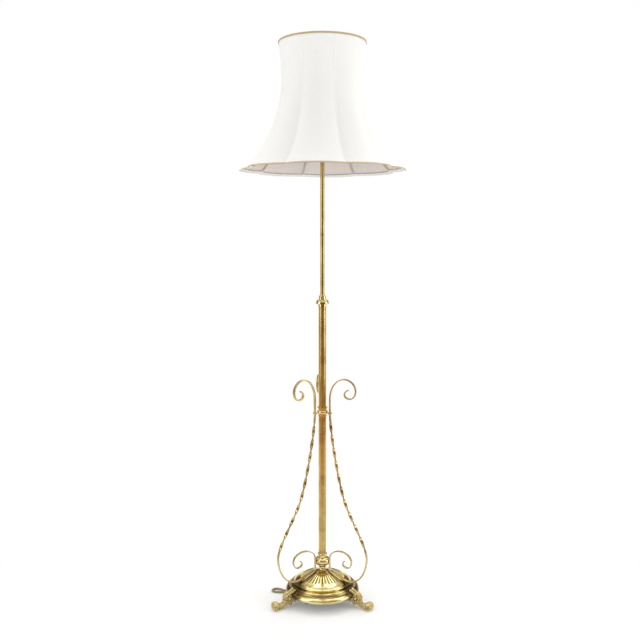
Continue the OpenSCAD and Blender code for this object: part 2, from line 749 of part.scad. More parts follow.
module pole_rings() color(BRASS) {
    ring(pole_r, ring_out_r, pole_foot, pole_foot + 4);
    ring(pole_r, ring_out_r, bush_z + bush_len + move_gap, bush_z + bush_len + move_gap + 3);
}

// Pole head: nipple, shade carrier and lampholder

nipple_bore_r = 3.6;
hub_z = pole_top + 3;
hub_t = 2;
nut_z = hub_z + hub_t;
cap_z = nut_z + 3;
cap_h = 20;
bar_z = cap_z + 16;
shell_z = cap_z + cap_h;
bore_r = holder_bore / 2;
contact_z = shell_z + 9;
glass_z = contact_z + 4 + 23;
ring_z = pole_top + carrier_h;

module pole_nipple() color(BRASS) rotate_extrude() polygon([
    [nipple_bore_r, pole_top - 12], [pole_in_r - 0.05, pole_top - 12],
    [pole_in_r - 0.05, pole_top], [9, pole_top], [9, hub_z], [rod_r, hub_z],
    [rod_r, cap_z + 8], [nipple_bore_r, cap_z + 8]]);

module shade_carrier() color(BRASS) {
    bend = 20;
    wire_z = hub_z + hub_t / 2;
    arm = concat([[11, wire_z]], arc([carrier_r - bend, wire_z + bend], bend, -90, 0, 6),
        [[carrier_r, ring_z]]);
    ring(rod_r + 0.1, 12, hub_z, hub_z + hub_t);
    for (a = [30, 150, 270]) rotate([0, 0, a])
        swept_tube([for (p = arm) [p[0], 0, p[1]]], wire_r, 10);
    torus(carrier_r, wire_r, ring_z);
}

module carrier_nut() color(BRASS) ring(rod_r + 0.1, 10, nut_z, nut_z + 3);

module holder_cap() color(BRASS) difference() {
    rotate_extrude() polygon([
        [rod_r + 0.1, cap_z], [9, cap_z], [9.5, cap_z + 4], [holder_r - 2, cap_z + 9],
        [holder_r, cap_z + 12], [holder_r, shell_z], [holder_r - 1.2, shell_z],
        [holder_r - 1.2, cap_z + 12.6], [holder_r - 3, cap_z + 10.4],
        [8.5, cap_z + 5.2], [rod_r + 0.1, cap_z + 5.2]]);
    translate([-30, 0, bar_z]) rotate([0, 90, 0]) cylinder(r = switch_r + run_fit, h = 60);
}

module holder_body() color(BRASS) rotate_extrude() polygon([
    [holder_r - 1.2, shell_z], [holder_r, shell_z], [holder_r, shell_z + 5],
    [bore_r + 3.2, shell_z + 8], [bore_r + 3.2, shell_z + 34], [bore_r, shell_z + 34],
    [bore_r, shell_z + 7], [holder_r - 1.2, shell_z + 7 - 0.8]]);

module holder_insert() color(BLACK) rotate_extrude() polygon([
    [0, shell_z - 0.6], [holder_r - 1.4, shell_z - 0.6], [holder_r - 1.4, shell_z + 5.6],
    [bore_r - 0.2, shell_z + 6.6], [bore_r - 0.2, contact_z], [0, contact_z]]);

module holder_contacts() color("silver")
    for (s = [-1, 1]) translate([s * 5.3, 0, contact_z]) cylinder(r = 2, h = 4);

module holder_ring() color(BRASS) ring(bore_r + 3.3, bore_r + 8, shell_z + 13, shell_z + 18);

module switch_bar() color(BRASS) translate([0, 0, bar_z]) rotate([0, 90, 0]) {
    translate([0, 0, -switch_len / 2]) cylinder(r = switch_r, h = switch_len);
    for (s = [-1, 1]) translate([0, 0, s * (switch_len / 2 - 1.5) - 1.5])
        cylinder(r = switch_r + 1, h = 3);
}

module bulb_cap() color("silver") translate([0, 0, contact_z + 4])
    cylinder(r = bulb_cap_d / 2, h = 23);

// Glass: a neck that swells into a globe, as an even shell
module bulb_glass() color("white") {
    globe_r = bulb_d / 2;
    neck_r = bulb_cap_d / 2;
    globe_z = glass_z + 46;
    wall = 0.9;
    rotate_extrude() difference() {
        glass_outline(neck_r, globe_r, globe_z, 0);
        glass_outline(neck_r, globe_r, globe_z, wall);
    }
}

module glass_outline(neck_r, globe_r, globe_z, wall) {
    reach = globe_r - wall;
    intersection() {
        union() {
            translate([0, globe_z]) circle(r = reach);
            polygon(concat([[0, glass_z + wall]],
                cubic([neck_r - wall, glass_z + wall], [neck_r - wall, glass_z + 14],
                    [0.72 * globe_r - wall, globe_z - 30],
                    [0, globe_z] + reach * [cos(-22), sin(-22)], 10),
                [[0, globe_z]]));
        }
        square([100, globe_z + 100]);
    }
}

// Shade: eight panels, each an arc in plan between two notches

fitter_z = ring_z + 2 * wire_r + 0.3;
shade_top = fitter_z + fitter_drop;
shade_turn = -5.5;
waist_depth = 109;
panel_deg = 360 / panel_count;
steps = 6;

shade_line = concat(
    cubic([shade_top_r, 0], [shade_top_r - 1.5, 12],
        [shade_waist_r, waist_depth - 50], [shade_waist_r, waist_depth], 4),
    tail(cubic([shade_waist_r, waist_depth], [shade_waist_r, waist_depth + 110],
        [shade_bottom_r - 70, shade_h - 49], [shade_bottom_r, shade_h], 8)));
lobe_rows = [for (p = shade_line) [p[1], p[0]]];
notch_rows = [for (p = shade_line) [p[1], p[0] - notch_depth * pow(p[1] / shade_h, 1.6)]];
depths = [for (p = shade_line) p[1]];

// Radius of the cover at a depth below the top and an angle off a panel's middle
function cover_at(depth, off) = let (
    peak = lookup(depth, lobe_rows), notch = lookup(depth, notch_rows),
    c = (peak * peak - notch * notch) / (2 * (peak - notch * cos(panel_deg / 2))))
    c * cos(off) + sqrt(pow(peak - c, 2) - pow(c * sin(off), 2));

// Closed band round the shade from rows of [depth, radial offset], which turn
// clockwise in the plane of radius and height
module shade_band(rows) {
    skin([for (k = [0:panel_count - 1], j = [0:steps - 1])
        let (off = panel_deg * (j / steps - 0.5), a = shade_turn + panel_deg * k + off)
        [for (row = rows) let (r = cover_at(row[0], off) + row[1])
            [r * cos(a), r * sin(a), shade_top - row[0]]]], closed = true);
}

function sheet_rows(outer, t) = concat([for (d = depths) [d, outer]],
    [for (i = [len(depths) - 1:-1:0]) [depths[i], outer - t]]);

lining_in = 2 * fabric_t + seat_gap;
frame_in = lining_in + seat_gap;
rim_inset = 4;

module shade_cover() color(WHITE) shade_band(sheet_rows(0, fabric_t));

module shade_lining() color("#ddd6d0")
    shade_band(sheet_rows(-fabric_t - seat_gap, fabric_t));

module shade_top_ring() color("white") {
    wall_r = cover_at(rim_inset + wire_r, panel_deg / 2) * cos(panel_deg / (2 * steps));
    torus(wall_r - frame_in - wire_r - 0.1, wire_r, shade_top - rim_inset);
}

module shade_bottom_ring() color("white") {
    depth = shade_h - rim_inset;
    slope = atan2(cover_at(shade_h, 0) - cover_at(depth, 0), rim_inset);
    inset = frame_in + (wire_r + seat_gap) / cos(slope);
    shade_band([for (i = [5:-1:0])
        [depth - wire_r * sin(60 * i), wire_r * cos(60 * i) - inset]]);
}

module shade_struts() color("white") {
    half = panel_deg / 2;
    line = [for (d = depths) [cover_at(d, half) - lining_in, -d]];
    dirs = headings(line);
    inset = [for (i = [0:len(line) - 1])
        line[i] + (wire_r + seat_gap) * [dirs[i][1], -dirs[i][0]]];
    n = len(inset) - 1;
    head = inset[0] + (inset[1] - inset[0]) * (rim_inset + wire_r + 0.3) / (depths[1] - depths[0]);
    foot_share = (rim_inset + wire_r + 1) / (depths[n] - depths[n - 1]);
    last = inset[n] + (inset[n - 1] - inset[n]) * foot_share;
    path = concat([head], [for (i = [1:n - 1]) inset[i]], [last]);
    for (k = [0:panel_count - 1]) rotate([0, 0, shade_turn + panel_deg * (k - 0.5)])
        swept_tube([for (p = path) [p[0], 0, shade_top + p[1]]], wire_r, 6);
}

module shade_fitter() color("white") {
    strut_r = cover_at(fitter_drop, panel_deg / 2) - frame_in - 2 * wire_r;
    torus(carrier_r, wire_r, fitter_z);
    for (k = [0:2:panel_count - 1]) rotate([0, 0, shade_turn + panel_deg * (k - 0.5)])
        translate([carrier_r, 0, fitter_z]) rotate([0, 90, 0])
            cylinder(r = wire_r * 0.8, h = strut_r - carrier_r - 0.2, $fn = 24);
}

module top_braid() color(BRAID)
    ring(shade_top_r + 0.1, shade_top_r + 1.2, shade_top - braid_w, shade_top);

module bottom_braid() color(BRAID) shade_band([[shade_h - braid_w, 1.5],
    [shade_h, 1.5], [shade_h, 0.2], [shade_h - braid_w, 0.2]]);

// Flex: inside the lamp, then along the floor, coiled under the base

coil_at = [50, 22];
coil_pitch = flex_d + coil_gap;
coil_z = flex_r + 1.2;
plug_at = [-18, -22];

out_route = [[0, 0, 23.5], [0, 0, 19], [0, 0, 15], [-2, 0, 9], [-6, 0, 5],
    [-12, 1, 3], [-24, 3, 3], [-40, 10, 3], [-60, 20, 3], [-80, 29, 3],
    [-100, 36, 3], [-118, 39, 3], [-132, 39, 3], [-143, 41, 3], [-151, 46, 3],
    [-153, 53, 3], [-150, 60, 3], [-143, 64, 3], [-134, 63, 3], [-126, 58, 3],
    [-116, 51, 3], [-104, 46, 3], [-88, 43, 3], [-70, 45, 3], [-50, 50, 3],
    [-30, 57, 3], [-10, 62, 3], [10, 65, 3], [26, 66, 4], [38, 65, 4.2], [44, 65, 4.2]];
tail_route = [[44, -21, 10.7], [38, -21, 10.4], [30, -21, 9], [20, -21, 7],
    [10, -21, 6], [0, -22, 6], [-10, -22, 6.8], [-18, -22, 6.8]];

module pole_flex() color(CORD) translate([0, 0, pole_foot])
    cylinder(r = flex_r, h = cap_z + 7 - pole_foot);

module slack_flex() color(CORD) translate([0, 0, flex_exit_z])
    cylinder(r = flex_r, h = pole_foot - flex_exit_z);

module flex_run() color(CORD) swept_tube(out_route, flex_r, 8);

module flex_tail() color(CORD) swept_tube(tail_route, flex_r, 8);

// The coil winds in on the floor, climbs in the half turn in which it
// reverses, and winds out again on top
function coil_point(t) = let (a = 90 - 360 * t, r = coil_r - coil_pitch * (coil_turns / 2
        - abs(t - coil_turns / 2)), climb = min(1, max(0, 2 * t - coil_turns + 0.5)))
    [coil_at[0] + r * cos(a), coil_at[1] + r * sin(a), coil_z + coil_pitch * climb];

coil_steps = 24 * coil_turns;
coil_route = concat([[coil_at[0] - flex_d, coil_at[1] + coil_r, coil_z]],
    [for (i = [0:coil_steps]) coil_point(i / 24)],
    [[coil_at[0] - flex_d, coil_at[1] - coil_r, coil_z + coil_pitch]]);

// Least clear space between turns of the coil, measured point to point
function coil_clear() = min([for (i = [1:len(coil_route) - 14])
    min([for (j = [i + 12:len(coil_route) - 2]) norm(coil_route[j] - coil_route[i])])])
    - flex_d;

module flex_coil() {
    echo(coil_clear = coil_clear(), coil_length = run(coil_route)[len(coil_route) - 1]);
    color(CORD) swept_tube(coil_route, flex_r, 6);
}

module flex_tie() color(BLACK) {
    inner = coil_r - coil_pitch * (coil_turns / 2 - 0.5) - flex_r - 0.3;
    outer = coil_r - 0.75 * coil_pitch + flex_r + 0.3;
    low = coil_z - flex_r - 0.2;
    high = coil_z + coil_pitch + flex_r + 0.2;
    wall = 0.9;
    translate([coil_at[0], coil_at[1] + 4, 0]) rotate([90, 0, 0]) linear_extrude(8)
        difference() {
            translate([-outer - wall, low - wall])
                square([outer - inner + 2 * wall, high - low + 2 * wall]);
            translate([-outer, low]) square([outer - inner, high - low]);
        }
}

module plug_body() color(BLACK) translate([plug_at[0], plug_at[1], 0]) {
    corner = 5;
    linear_extrude(plug_t) {
        polygon([[0, -7], [0, 7], [-plug_len * 0.5, plug_w / 2], [corner - plug_len, plug_w / 2],
            [corner - plug_len, -plug_w / 2], [-plug_len * 0.5, -plug_w / 2]]);
        translate([-plug_len, corner - plug_w / 2]) square([plug_len / 2, plug_w - 2 * corner]);
        for (s = [-1, 1]) translate([corner - plug_len, s * (plug_w / 2 - corner)])
            circle(r = corner);
    }
}

module plug_pins() color("silver") for (s = [-1, 1])
    translate([plug_at[0] - plug_len, plug_at[1] + s * 9.3, plug_t / 2]) {
        rotate([0, -90, 0]) cylinder(r = 2, h = 17);
        translate([-17, 0, 0]) sphere(r = 2);
    }

base_shell();
base_weight();
base_cover();
centre_rod();
rod_nut();
rod_washer();
flex_bush();
foot_left();
foot_right();
foot_rear();
foot_screws();
neck_waist();
neck_knop();
neck_ring();
bracket_left();
bracket_right();
bracket_rear();
ball_screws();
support_left();
support_right();
support_rear();
tube_plug();
outer_tube();
mid_collar();
strap_clips();
clamp_collar();
collet();
clamp_nut();
inner_pole();
pole_bush();
pole_rings();
pole_nipple();
shade_carrier();
carrier_nut();
holder_cap();
holder_body();
holder_insert();
holder_contacts();
holder_ring();
switch_bar();
bulb_cap();
bulb_glass();
shade_top_ring();
shade_bottom_ring();
shade_struts();
shade_fitter();
shade_cover();
shade_lining();
top_braid();
bottom_braid();
pole_flex();
slack_flex();
flex_run();
flex_coil();
flex_tail();
flex_tie();
plug_body();
plug_pins();
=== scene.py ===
"""Adjustable brass floor lamp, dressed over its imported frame.

Shapes are worked out in millimetres and go into the meshes in metres. The lamp
stands on the floor at the origin with +Z up, and the camera looks along +Y.
"""
import math

import bpy
import numpy as np
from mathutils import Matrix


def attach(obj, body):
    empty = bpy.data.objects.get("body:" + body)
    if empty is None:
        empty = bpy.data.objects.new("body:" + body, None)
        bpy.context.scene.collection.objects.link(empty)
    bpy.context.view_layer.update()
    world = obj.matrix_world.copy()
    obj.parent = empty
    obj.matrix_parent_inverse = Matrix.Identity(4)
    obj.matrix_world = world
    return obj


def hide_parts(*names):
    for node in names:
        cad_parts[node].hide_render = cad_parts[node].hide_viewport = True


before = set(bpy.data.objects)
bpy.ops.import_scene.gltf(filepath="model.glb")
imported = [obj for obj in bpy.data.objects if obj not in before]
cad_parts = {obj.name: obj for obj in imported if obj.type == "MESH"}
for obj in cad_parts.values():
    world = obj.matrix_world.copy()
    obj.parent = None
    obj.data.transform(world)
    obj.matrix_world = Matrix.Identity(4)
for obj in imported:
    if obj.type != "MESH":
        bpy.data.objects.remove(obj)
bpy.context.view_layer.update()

MM = 0.001

# Camera: its distance and height in metres, its sensor and lens in millimetres, and how
# far the picture is moved on the sensor, as a share of its width
CAMERA_AWAY = 2.5
CAMERA_UP = 1.06
SENSOR_MM = 36.0
LENS_MM = 46.875
SHIFT_ACROSS = -0.00375
SHIFT_UP = -0.117

# Azimuths of the three feet, brackets and supports
AZIMUTHS = {"left": 210, "right": 330, "rear": 90}

# Base: top of the dome's slope, its flutes, the hollow moulding and the rim
DOME_Z = 90.0
DOME_SLOPE = math.radians(21)
DOME_SEAT_R = 13.0
FLUTES = 40
FLUTE_FROM = 27.0
FLUTE_TO = 68.0
GROOVE_R = 99.0
RIM_R = 110.0

# Feet: middles of the knee and the toe, as distance out and height, and the relief
KNEE_AT = (117.5, 28.5)
TOE_AT = (156.0, 10.0)
KNEE_R = 13.5
TOE_R = 11.5
BOSS_R = 2.4
BOSS_RISE = 0.8
PETALS = 8
PETAL_DEPTH = 0.9
SCROLL_PITCH = 5.2
SCROLL_DEPTH = 0.8
RIB_PITCH = 4.6
RIB_DEPTH = 0.7
FROND_PITCH = 7.5
FROND_DEPTH = 0.35

# Twisted supports: the bar, then its path from the foot over the belly to the scroll
STRAP_W = 9.0
STRAP_T = 3.8
STRAP_STEP = 2.4
FLAT_HALF = 0.55 * STRAP_W
BELLY_R = 149.0
BELLY_UP = 55.0
SWEEP_R = 74.0
SWEEP_SHARE = 0.39
SWEEP_LEAN = math.radians(20)
HALF_TURNS = 10
TWIST_PAST_BELLY = 2.8 * STRAP_W
TWIST_SHORT_OF_COLLAR = 3.1 * STRAP_W
ROOT_R = 26.0
COLLAR_Z = DOME_Z + 468.0
ROOT_RISE = 42.0
SCROLL_W = 80.0
SCROLL_RISE = 61.0
SCROLL_SKEW = math.radians(11)
SKEW_FROM = 0.14 * ROOT_RISE
SKEW_OVER = 0.7 * ROOT_RISE

# Turning points of the two scrolls, as shares of their reach and rise: the top, the
# far side, the underside, the near side and the tip
UPPER_SCROLL = [(0.55, 1), (1, 0.44), (0.77, 0.06), (0.57, 0.25), (0.73, 0.48)]
LOWER_SCROLL = [(0.5, 1), (1, 0.58), (0.82, 0.28), (0.61, 0.42), (0.71, 0.58)]

# Scroll brackets
BRACKET_W = 8.0
BRACKET_T = 3.0
BRACKET_STEP = 1.6
LEAF_W = 17.0
BRACKET_RISE = 62.0
BRACKET_REACH = 73.5
LEG_RISE = 35.0
KNOP_R = 23.4
SCREW_AT = 66.0
LEAF_TIP = 6.0
LEAF_RUN = 30.0
SWELL_FROM = 30.0
SEAT_GAP = 0.2

# Shade: its outline, its cloth with the welts on the seams, its tapes and its braid
SHADE_TOP_Z = 1668.9
SHADE_H = 385.0
SHADE_TURN = math.radians(-5.5)
PANELS = 8
HALF_PANEL = math.pi / PANELS
HALF_PANEL_DEG = 180 / PANELS
TOP_R = 131.5
WAIST_R = 123.5
WAIST_DEPTH = 109.0
BOTTOM_R = 250.0
NOTCH_DEPTH = 25.0
NOTCH_POWER = 1.6
CLOTH_T = 0.8
LINING_T = 0.6
CLOTH_UV_R = 160.0
WELT_RISE = 0.6
WELT_HALF = 1.3
DIP_DEPTH = 0.25
DIP_AT = 3.2
DIP_HALF = 1.2
TAPE_T = 0.4
TAPE_INSET = 9.0
WIRE_R = 1.8
BRAID_W = 5.0
BRAID_PITCH = 4.0
STRAND_SLANT = 3.4
EDGE_CORD = 0.09

# Flex: its coil, and the points by which it goes out to the coil and on to the plug
FLEX_D = 6.0
FLEX_STEP = 2.4
COIL_AT = (50.0, 22.0)
COIL_R = 43.0
COIL_PITCH = 6.5
COIL_Z = 4.2
COIL_TURNS = 8.5
POINTS_A_TURN = 24
OUT_ROUTE = [
    (0, 0, 23.5), (0, 0, 19), (0, 0, 15), (-2, 0, 9), (-6, 0, 5), (-12, 1, 3), (-24, 3, 3),
    (-40, 10, 3), (-60, 20, 3), (-80, 29, 3), (-100, 36, 3), (-118, 39, 3), (-132, 39, 3),
    (-143, 41, 3), (-151, 46, 3), (-153, 53, 3), (-150, 60, 3), (-143, 64, 3), (-134, 63, 3),
    (-126, 58, 3), (-116, 51, 3), (-104, 46, 3), (-88, 43, 3), (-70, 45, 3), (-50, 50, 3),
    (-30, 57, 3), (-10, 62, 3), (10, 65, 3), (26, 66, 4), (38, 65, 4.2), (44, 65, 4.2),
]
TAIL_ROUTE = [
    (44, -21, 10.7), (38, -21, 10.4), (30, -21, 9), (20, -21, 7), (10, -21, 6), (0, -22, 6),
    (-10, -22, 6.8), (-18, -22, 6.8),
]


# Camera

def set_camera():
    """Level camera in front of the lamp, as in the photograph."""
    data = bpy.data.cameras.new("camera")
    data.sensor_width = SENSOR_MM
    data.lens = LENS_MM
    data.shift_x = SHIFT_ACROSS
    data.shift_y = SHIFT_UP
    camera = bpy.data.objects.new("camera", data)
    camera.location = (0.0, -CAMERA_AWAY, CAMERA_UP)
    camera.rotation_euler = (math.pi / 2, 0.0, 0.0)
    bpy.context.scene.collection.objects.link(camera)
    bpy.context.scene.camera = camera


set_camera()


# Curves

def cubic(a, b, c, d, count):
    """Points along the cubic curve from a to d whose handles are b and c."""
    t = np.linspace(0, 1, count + 1)[:, None]
    a, b, c, d = (np.asarray(p, float) for p in (a, b, c, d))
    return (1 - t) ** 3 * a + 3 * t * (1 - t) ** 2 * b + 3 * t ** 2 * (1 - t) * c + t ** 3 * d


def quarter(p, q, upright, count=24):
    """Quarter of an ellipse from p to q that leaves p upright, or else level."""
    angle = np.linspace(0, math.pi / 2, count + 1)
    across, up = np.sin(angle), 1 - np.cos(angle)
    if upright:
        across, up = up, across
    return np.stack([p[0] + (q[0] - p[0]) * across, p[1] + (q[1] - p[1]) * up], 1)


def length_along(points):
    """Running length along a line of points, from 0."""
    steps = np.linalg.norm(np.diff(points, axis=0), axis=1)
    return np.concatenate([[0], np.cumsum(steps)])


def respaced(points, step, *values):
    """The line of points again at an even spacing, with values that go with it."""
    points = np.asarray(points, float)
    keep = np.concatenate([[True], np.linalg.norm(np.diff(points, axis=0), axis=1) > 1e-6])
    points = points[keep]
    along = length_along(points)
    even = np.linspace(0, along[-1], max(2, int(round(along[-1] / step)) + 1))
    line = np.stack([np.interp(even, along, points[:, k]) for k in range(points.shape[1])], 1)
    return (line, *[np.interp(even, along, np.asarray(v, float)[keep]) for v in values])


def smoothed(points, step):
    """Line through all the points whose heading at each is that of its neighbours' chord.

    Between two points it is the cubic that has both headings, so it has no corners.
    """
    points = np.asarray(points, float)
    along = length_along(points)
    slope = np.gradient(points, along, axis=0)
    even = np.linspace(0, along[-1], int(along[-1] / step) + 1)
    k = np.clip(np.searchsorted(along, even, side="right") - 1, 0, len(points) - 2)
    span = (along[k + 1] - along[k])[:, None]
    t = (even[:, None] - along[k][:, None]) / span
    return (
        (2 * t ** 3 - 3 * t ** 2 + 1) * points[k] + (t ** 3 - 2 * t ** 2 + t) * span * slope[k]
        + (3 * t ** 2 - 2 * t ** 3) * points[k + 1] + (t ** 3 - t ** 2) * span * slope[k + 1]
    )


def headings(points):
    """Unit direction of the line at each of its points."""
    slope = np.gradient(points, axis=0)
    return slope / np.linalg.norm(slope, axis=1, keepdims=True)


# Surfaces

def shell(rings, looped=False, uv=None):
    """Closed surface over rings of points: each ring is joined to the next.

    rings is (ring, point, xyz) in millimetres. Looped rings come back to the
    first one, and otherwise a fan closes each end. uv has one more ring and one
    more point than rings, so a pattern runs on where the surface closes.
    """
    rings = np.asarray(rings, float)
    count, sides = rings.shape[:2]
    i, j = np.meshgrid(np.arange(count if looped else count - 1), np.arange(sides), indexing="ij")
    i, j = i.ravel(), j.ravel()
    corners = [(i, j), (i + 1, j), (i + 1, j + 1), (i, j + 1)]
    quads = np.stack([(a % count) * sides + b % sides for a, b in corners], 1)
    quad_uv = np.zeros((len(quads), 4, 2))
    if uv is not None:
        quad_uv = np.stack([uv[a, b] for a, b in corners], 1)
    points = rings.reshape(-1, 3)
    fans = np.zeros((0, 3), int)
    if not looped:
        j = np.arange(sides)
        after = (j + 1) % sides
        last = (count - 1) * sides
        hubs = np.full(sides, len(points))
        fans = np.concatenate([
            np.stack([hubs, j, after], 1), np.stack([hubs + 1, last + after, last + j], 1),
        ])
        points = np.vstack([points, rings[0].mean(0), rings[-1].mean(0)])
    triangles = np.concatenate([quads[:, :3], quads[:, [0, 2, 3]], fans])
    a, b, c = (points[triangles[:, k]] for k in range(3))
    if (a * np.cross(b, c)).sum() < 0:
        quads, quad_uv, fans = quads[:, ::-1], quad_uv[:, ::-1], fans[:, ::-1]
    return points, quads, fans, quad_uv


def mesh_of(name, shells):
    """One mesh, in metres, from several closed surfaces."""
    points, quads, fans, uvs, start = [], [], [], [], 0
    for shell_points, shell_quads, shell_fans, quad_uv in shells:
        points.append(shell_points)
        quads.append(shell_quads + start)
        fans.append(shell_fans + start)
        uvs.append(quad_uv)
        start += len(shell_points)
    quads, fans, uvs = np.concatenate(quads), np.concatenate(fans), np.concatenate(uvs)
    mesh = bpy.data.meshes.new(name)
    mesh.from_pydata((np.concatenate(points) * MM).tolist(), [], quads.tolist() + fans.tolist())
    layer = mesh.uv_layers.new(name="UV")
    flat = np.concatenate([uvs.reshape(-1, 2), np.zeros((3 * len(fans), 2))])
    layer.data.foreach_set("uv", (flat * MM).ravel())
    mesh.shade_smooth()
    mesh.update()
    return mesh


def piece(name, mesh, finish, body, slot, *nodes):
    """Object that carries a finish, rides on a body and stands for CAD nodes."""
    made = bpy.data.objects.new(name, mesh)
    bpy.context.scene.collection.objects.link(made)
    mesh.materials.clear()
    mesh.materials.append(finish)
    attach(made, body)
    if nodes:
        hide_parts(*nodes)
    return made


# Finishes

def linear(code):
    """Linear colour with alpha from an sRGB hex code."""
    parts = [int(code[k:k + 2], 16) / 255 for k in (1, 3, 5)]
    return tuple(p / 12.92 if p <= 0.04045 else ((p + 0.055) / 1.055) ** 2.4 for p in parts) + (1.0,)


def add(tree, kind, feeds=None, **settings):
    """Adds one shader node. feeds maps its inputs to values or to other outputs."""
    made = tree.nodes.new("ShaderNode" + kind)
    for key, value in settings.items():
        setattr(made, key, value)
    for key, value in (feeds or {}).items():
        if isinstance(value, bpy.types.NodeSocket):
            tree.links.new(value, made.inputs[key])
        else:
            made.inputs[key].default_value = value
    return made


def start_finish(name):
    """New material with an empty node tree, ready for a shader."""
    material = bpy.data.materials.new(name)
    material.use_nodes = True
    material.node_tree.nodes.clear()
    return material, material.node_tree


def end_finish(tree, shader):
    """Leads the shader to the material's output."""
    add(tree, "OutputMaterial", {"Surface": shader.outputs[0]})


def object_noise(tree, size_mm, stretch=(1, 1, 1), detail=3.0):
    """Noise in the object's own space whose grains are about size_mm across."""
    place = add(tree, "TexCoord")
    scaled = add(tree, "Mapping", {"Vector": place.outputs["Object"], "Scale": stretch})
    return add(tree, "TexNoise", {
        "Vector": scaled.outputs[0], "Scale": 1000 / size_mm, "Detail": detail, "Roughness": 0.6,
    }).outputs["Fac"]


def blend(tree, factor, low, high, start=0.0, stop=1.0, course="LINEAR"):
    """Colour or value between low and high as factor goes from start to stop."""
    numbers = isinstance(low, float)
    share = add(tree, "MapRange", {
        "Value": factor, "From Min": start, "From Max": stop,
        "To Min": low if numbers else 0.0, "To Max": high if numbers else 1.0,
    }, interpolation_type=course).outputs[0]
    if numbers:
        return share
    return add(tree, "Mix", {0: share, 6: low, 7: high}, data_type="RGBA").outputs[2]


def band(tree, value, start, full_from, full_to, stop):
    """1 where a value lies in a band, with ramps from start and down to stop."""
    rising = blend(tree, value, 0.0, 1.0, start, full_from)
    falling = blend(tree, value, 1.0, 0.0, full_to, stop)
    return add(tree, "Math", {0: rising, 1: falling}, operation="MULTIPLY").outputs[0]


def brass_shader(tree, colour, worked, polish, relief):
    """Lacquered brass of a colour, with the tool marks in its gloss and surface."""
    bump = add(tree, "Bump", {"Height": worked, "Strength": 0.5, "Distance": relief * MM})
    return add(tree, "BsdfPrincipled", {
        "Base Color": colour, "Metallic": 1.0, "Normal": bump.outputs[0],
        "Roughness": blend(tree, worked, polish[0], polish[1], 0.3, 0.7),
        "Coat Weight": 0.15, "Coat Roughness": 0.2,
    })


def aged_brass(name, bright, aged, polish, marks, grain, relief):
    """Lacquered brass: bright where it is handled, browner where it has aged.

    The ageing lies in patches of 60 mm and specks of 2.4 mm. marks stretches the
    tool marks the way the brass was worked, grain is their spacing and relief
    their depth in mm. They are wider apart than real ones, which would not show.
    """
    material, tree = start_finish(name)
    patches = object_noise(tree, 60, detail=4.0)
    specks = object_noise(tree, 2.4)
    worked = object_noise(tree, grain, marks, 2.0)
    colour = blend(tree, patches, linear(bright), linear(aged), 0.44, 0.78)
    colour = blend(tree, specks, colour, linear(aged), 0.74, 0.92)
    end_finish(tree, brass_shader(tree, colour, worked, polish, relief))
    return material


def dome_brass(name, bright, aged, tarnish_and_shade, polish, relief):
    """Spun brass of the base, with painted shade and dark reflection round the brackets.

    The painted shade follows the sine of three times the azimuth, which is lowest at the
    three brackets, and its edge wanders with the clouds of the lacquer. Painted shade
    also runs along the ridges between the flutes, where the cosine of the flutes'
    count times the azimuth is highest, and lies in the hollow moulding above the rim.
    """
    material, tree = start_finish(name)
    place = add(tree, "TexCoord").outputs["Object"]
    parts = add(tree, "SeparateXYZ", {0: place})
    azimuth = add(tree, "Math", {0: parts.outputs["Y"], 1: parts.outputs["X"]}, operation="ARCTAN2")
    # Painted shade round the three brackets, where the sine of three times the azimuth is lowest
    threefold = add(tree, "Math", {0: azimuth.outputs[0], 1: 3.0}, operation="MULTIPLY")
    bracket_shade_wave = add(tree, "Math", {0: threefold.outputs[0]}, operation="SINE").outputs[0]
    # Painted shade lines along the ridges between the flutes
    flutes = add(tree, "Math", {0: azimuth.outputs[0], 1: float(FLUTES)}, operation="MULTIPLY")
    ridge_shade_wave = add(tree, "Math", {0: flutes.outputs[0]}, operation="COSINE").outputs[0]
    level = add(tree, "Mapping", {"Vector": place, "Scale": (1, 1, 0)}).outputs[0]
    metres = add(tree, "VectorMath", {0: level}, operation="LENGTH").outputs["Value"]
    radius = add(tree, "Math", {0: metres, 1: 1 / MM}, operation="MULTIPLY").outputs[0]
    fluted = band(tree, radius, FLUTE_FROM, FLUTE_FROM + 4, FLUTE_TO - 3, FLUTE_TO + 1)
    line = add(tree, "Math", {0: ridge_shade_wave, 1: fluted}, operation="MULTIPLY").outputs[0]
    # Painted shade in the hollow moulding above the rim
    groove_shade_mask = band(tree, radius, GROOVE_R - 4, GROOVE_R - 1.5, GROOVE_R + 2, GROOVE_R + 4)
    clouds = object_noise(tree, 45, detail=5.0)
    edge = add(tree, "Math", {0: clouds, 1: -1.6, 2: bracket_shade_wave}, operation="MULTIPLY_ADD").outputs[0]
    worked = object_noise(tree, 1.4, (0.15, 0.15, 1), 2.0)
    colour = blend(tree, clouds, linear(bright), linear(aged), 0.46, 0.8)
    # The shade colour is painted on the flute ridges, in the moulding and round the brackets
    colour = blend(tree, line, colour, linear(tarnish_and_shade), 0.25, 0.95)
    colour = blend(tree, groove_shade_mask, colour, linear(tarnish_and_shade), 0.0, 1.15)
    colour = blend(tree, edge, linear(tarnish_and_shade), colour, -1.75, -0.95)
    end_finish(tree, brass_shader(tree, colour, worked, polish, relief))
    return material


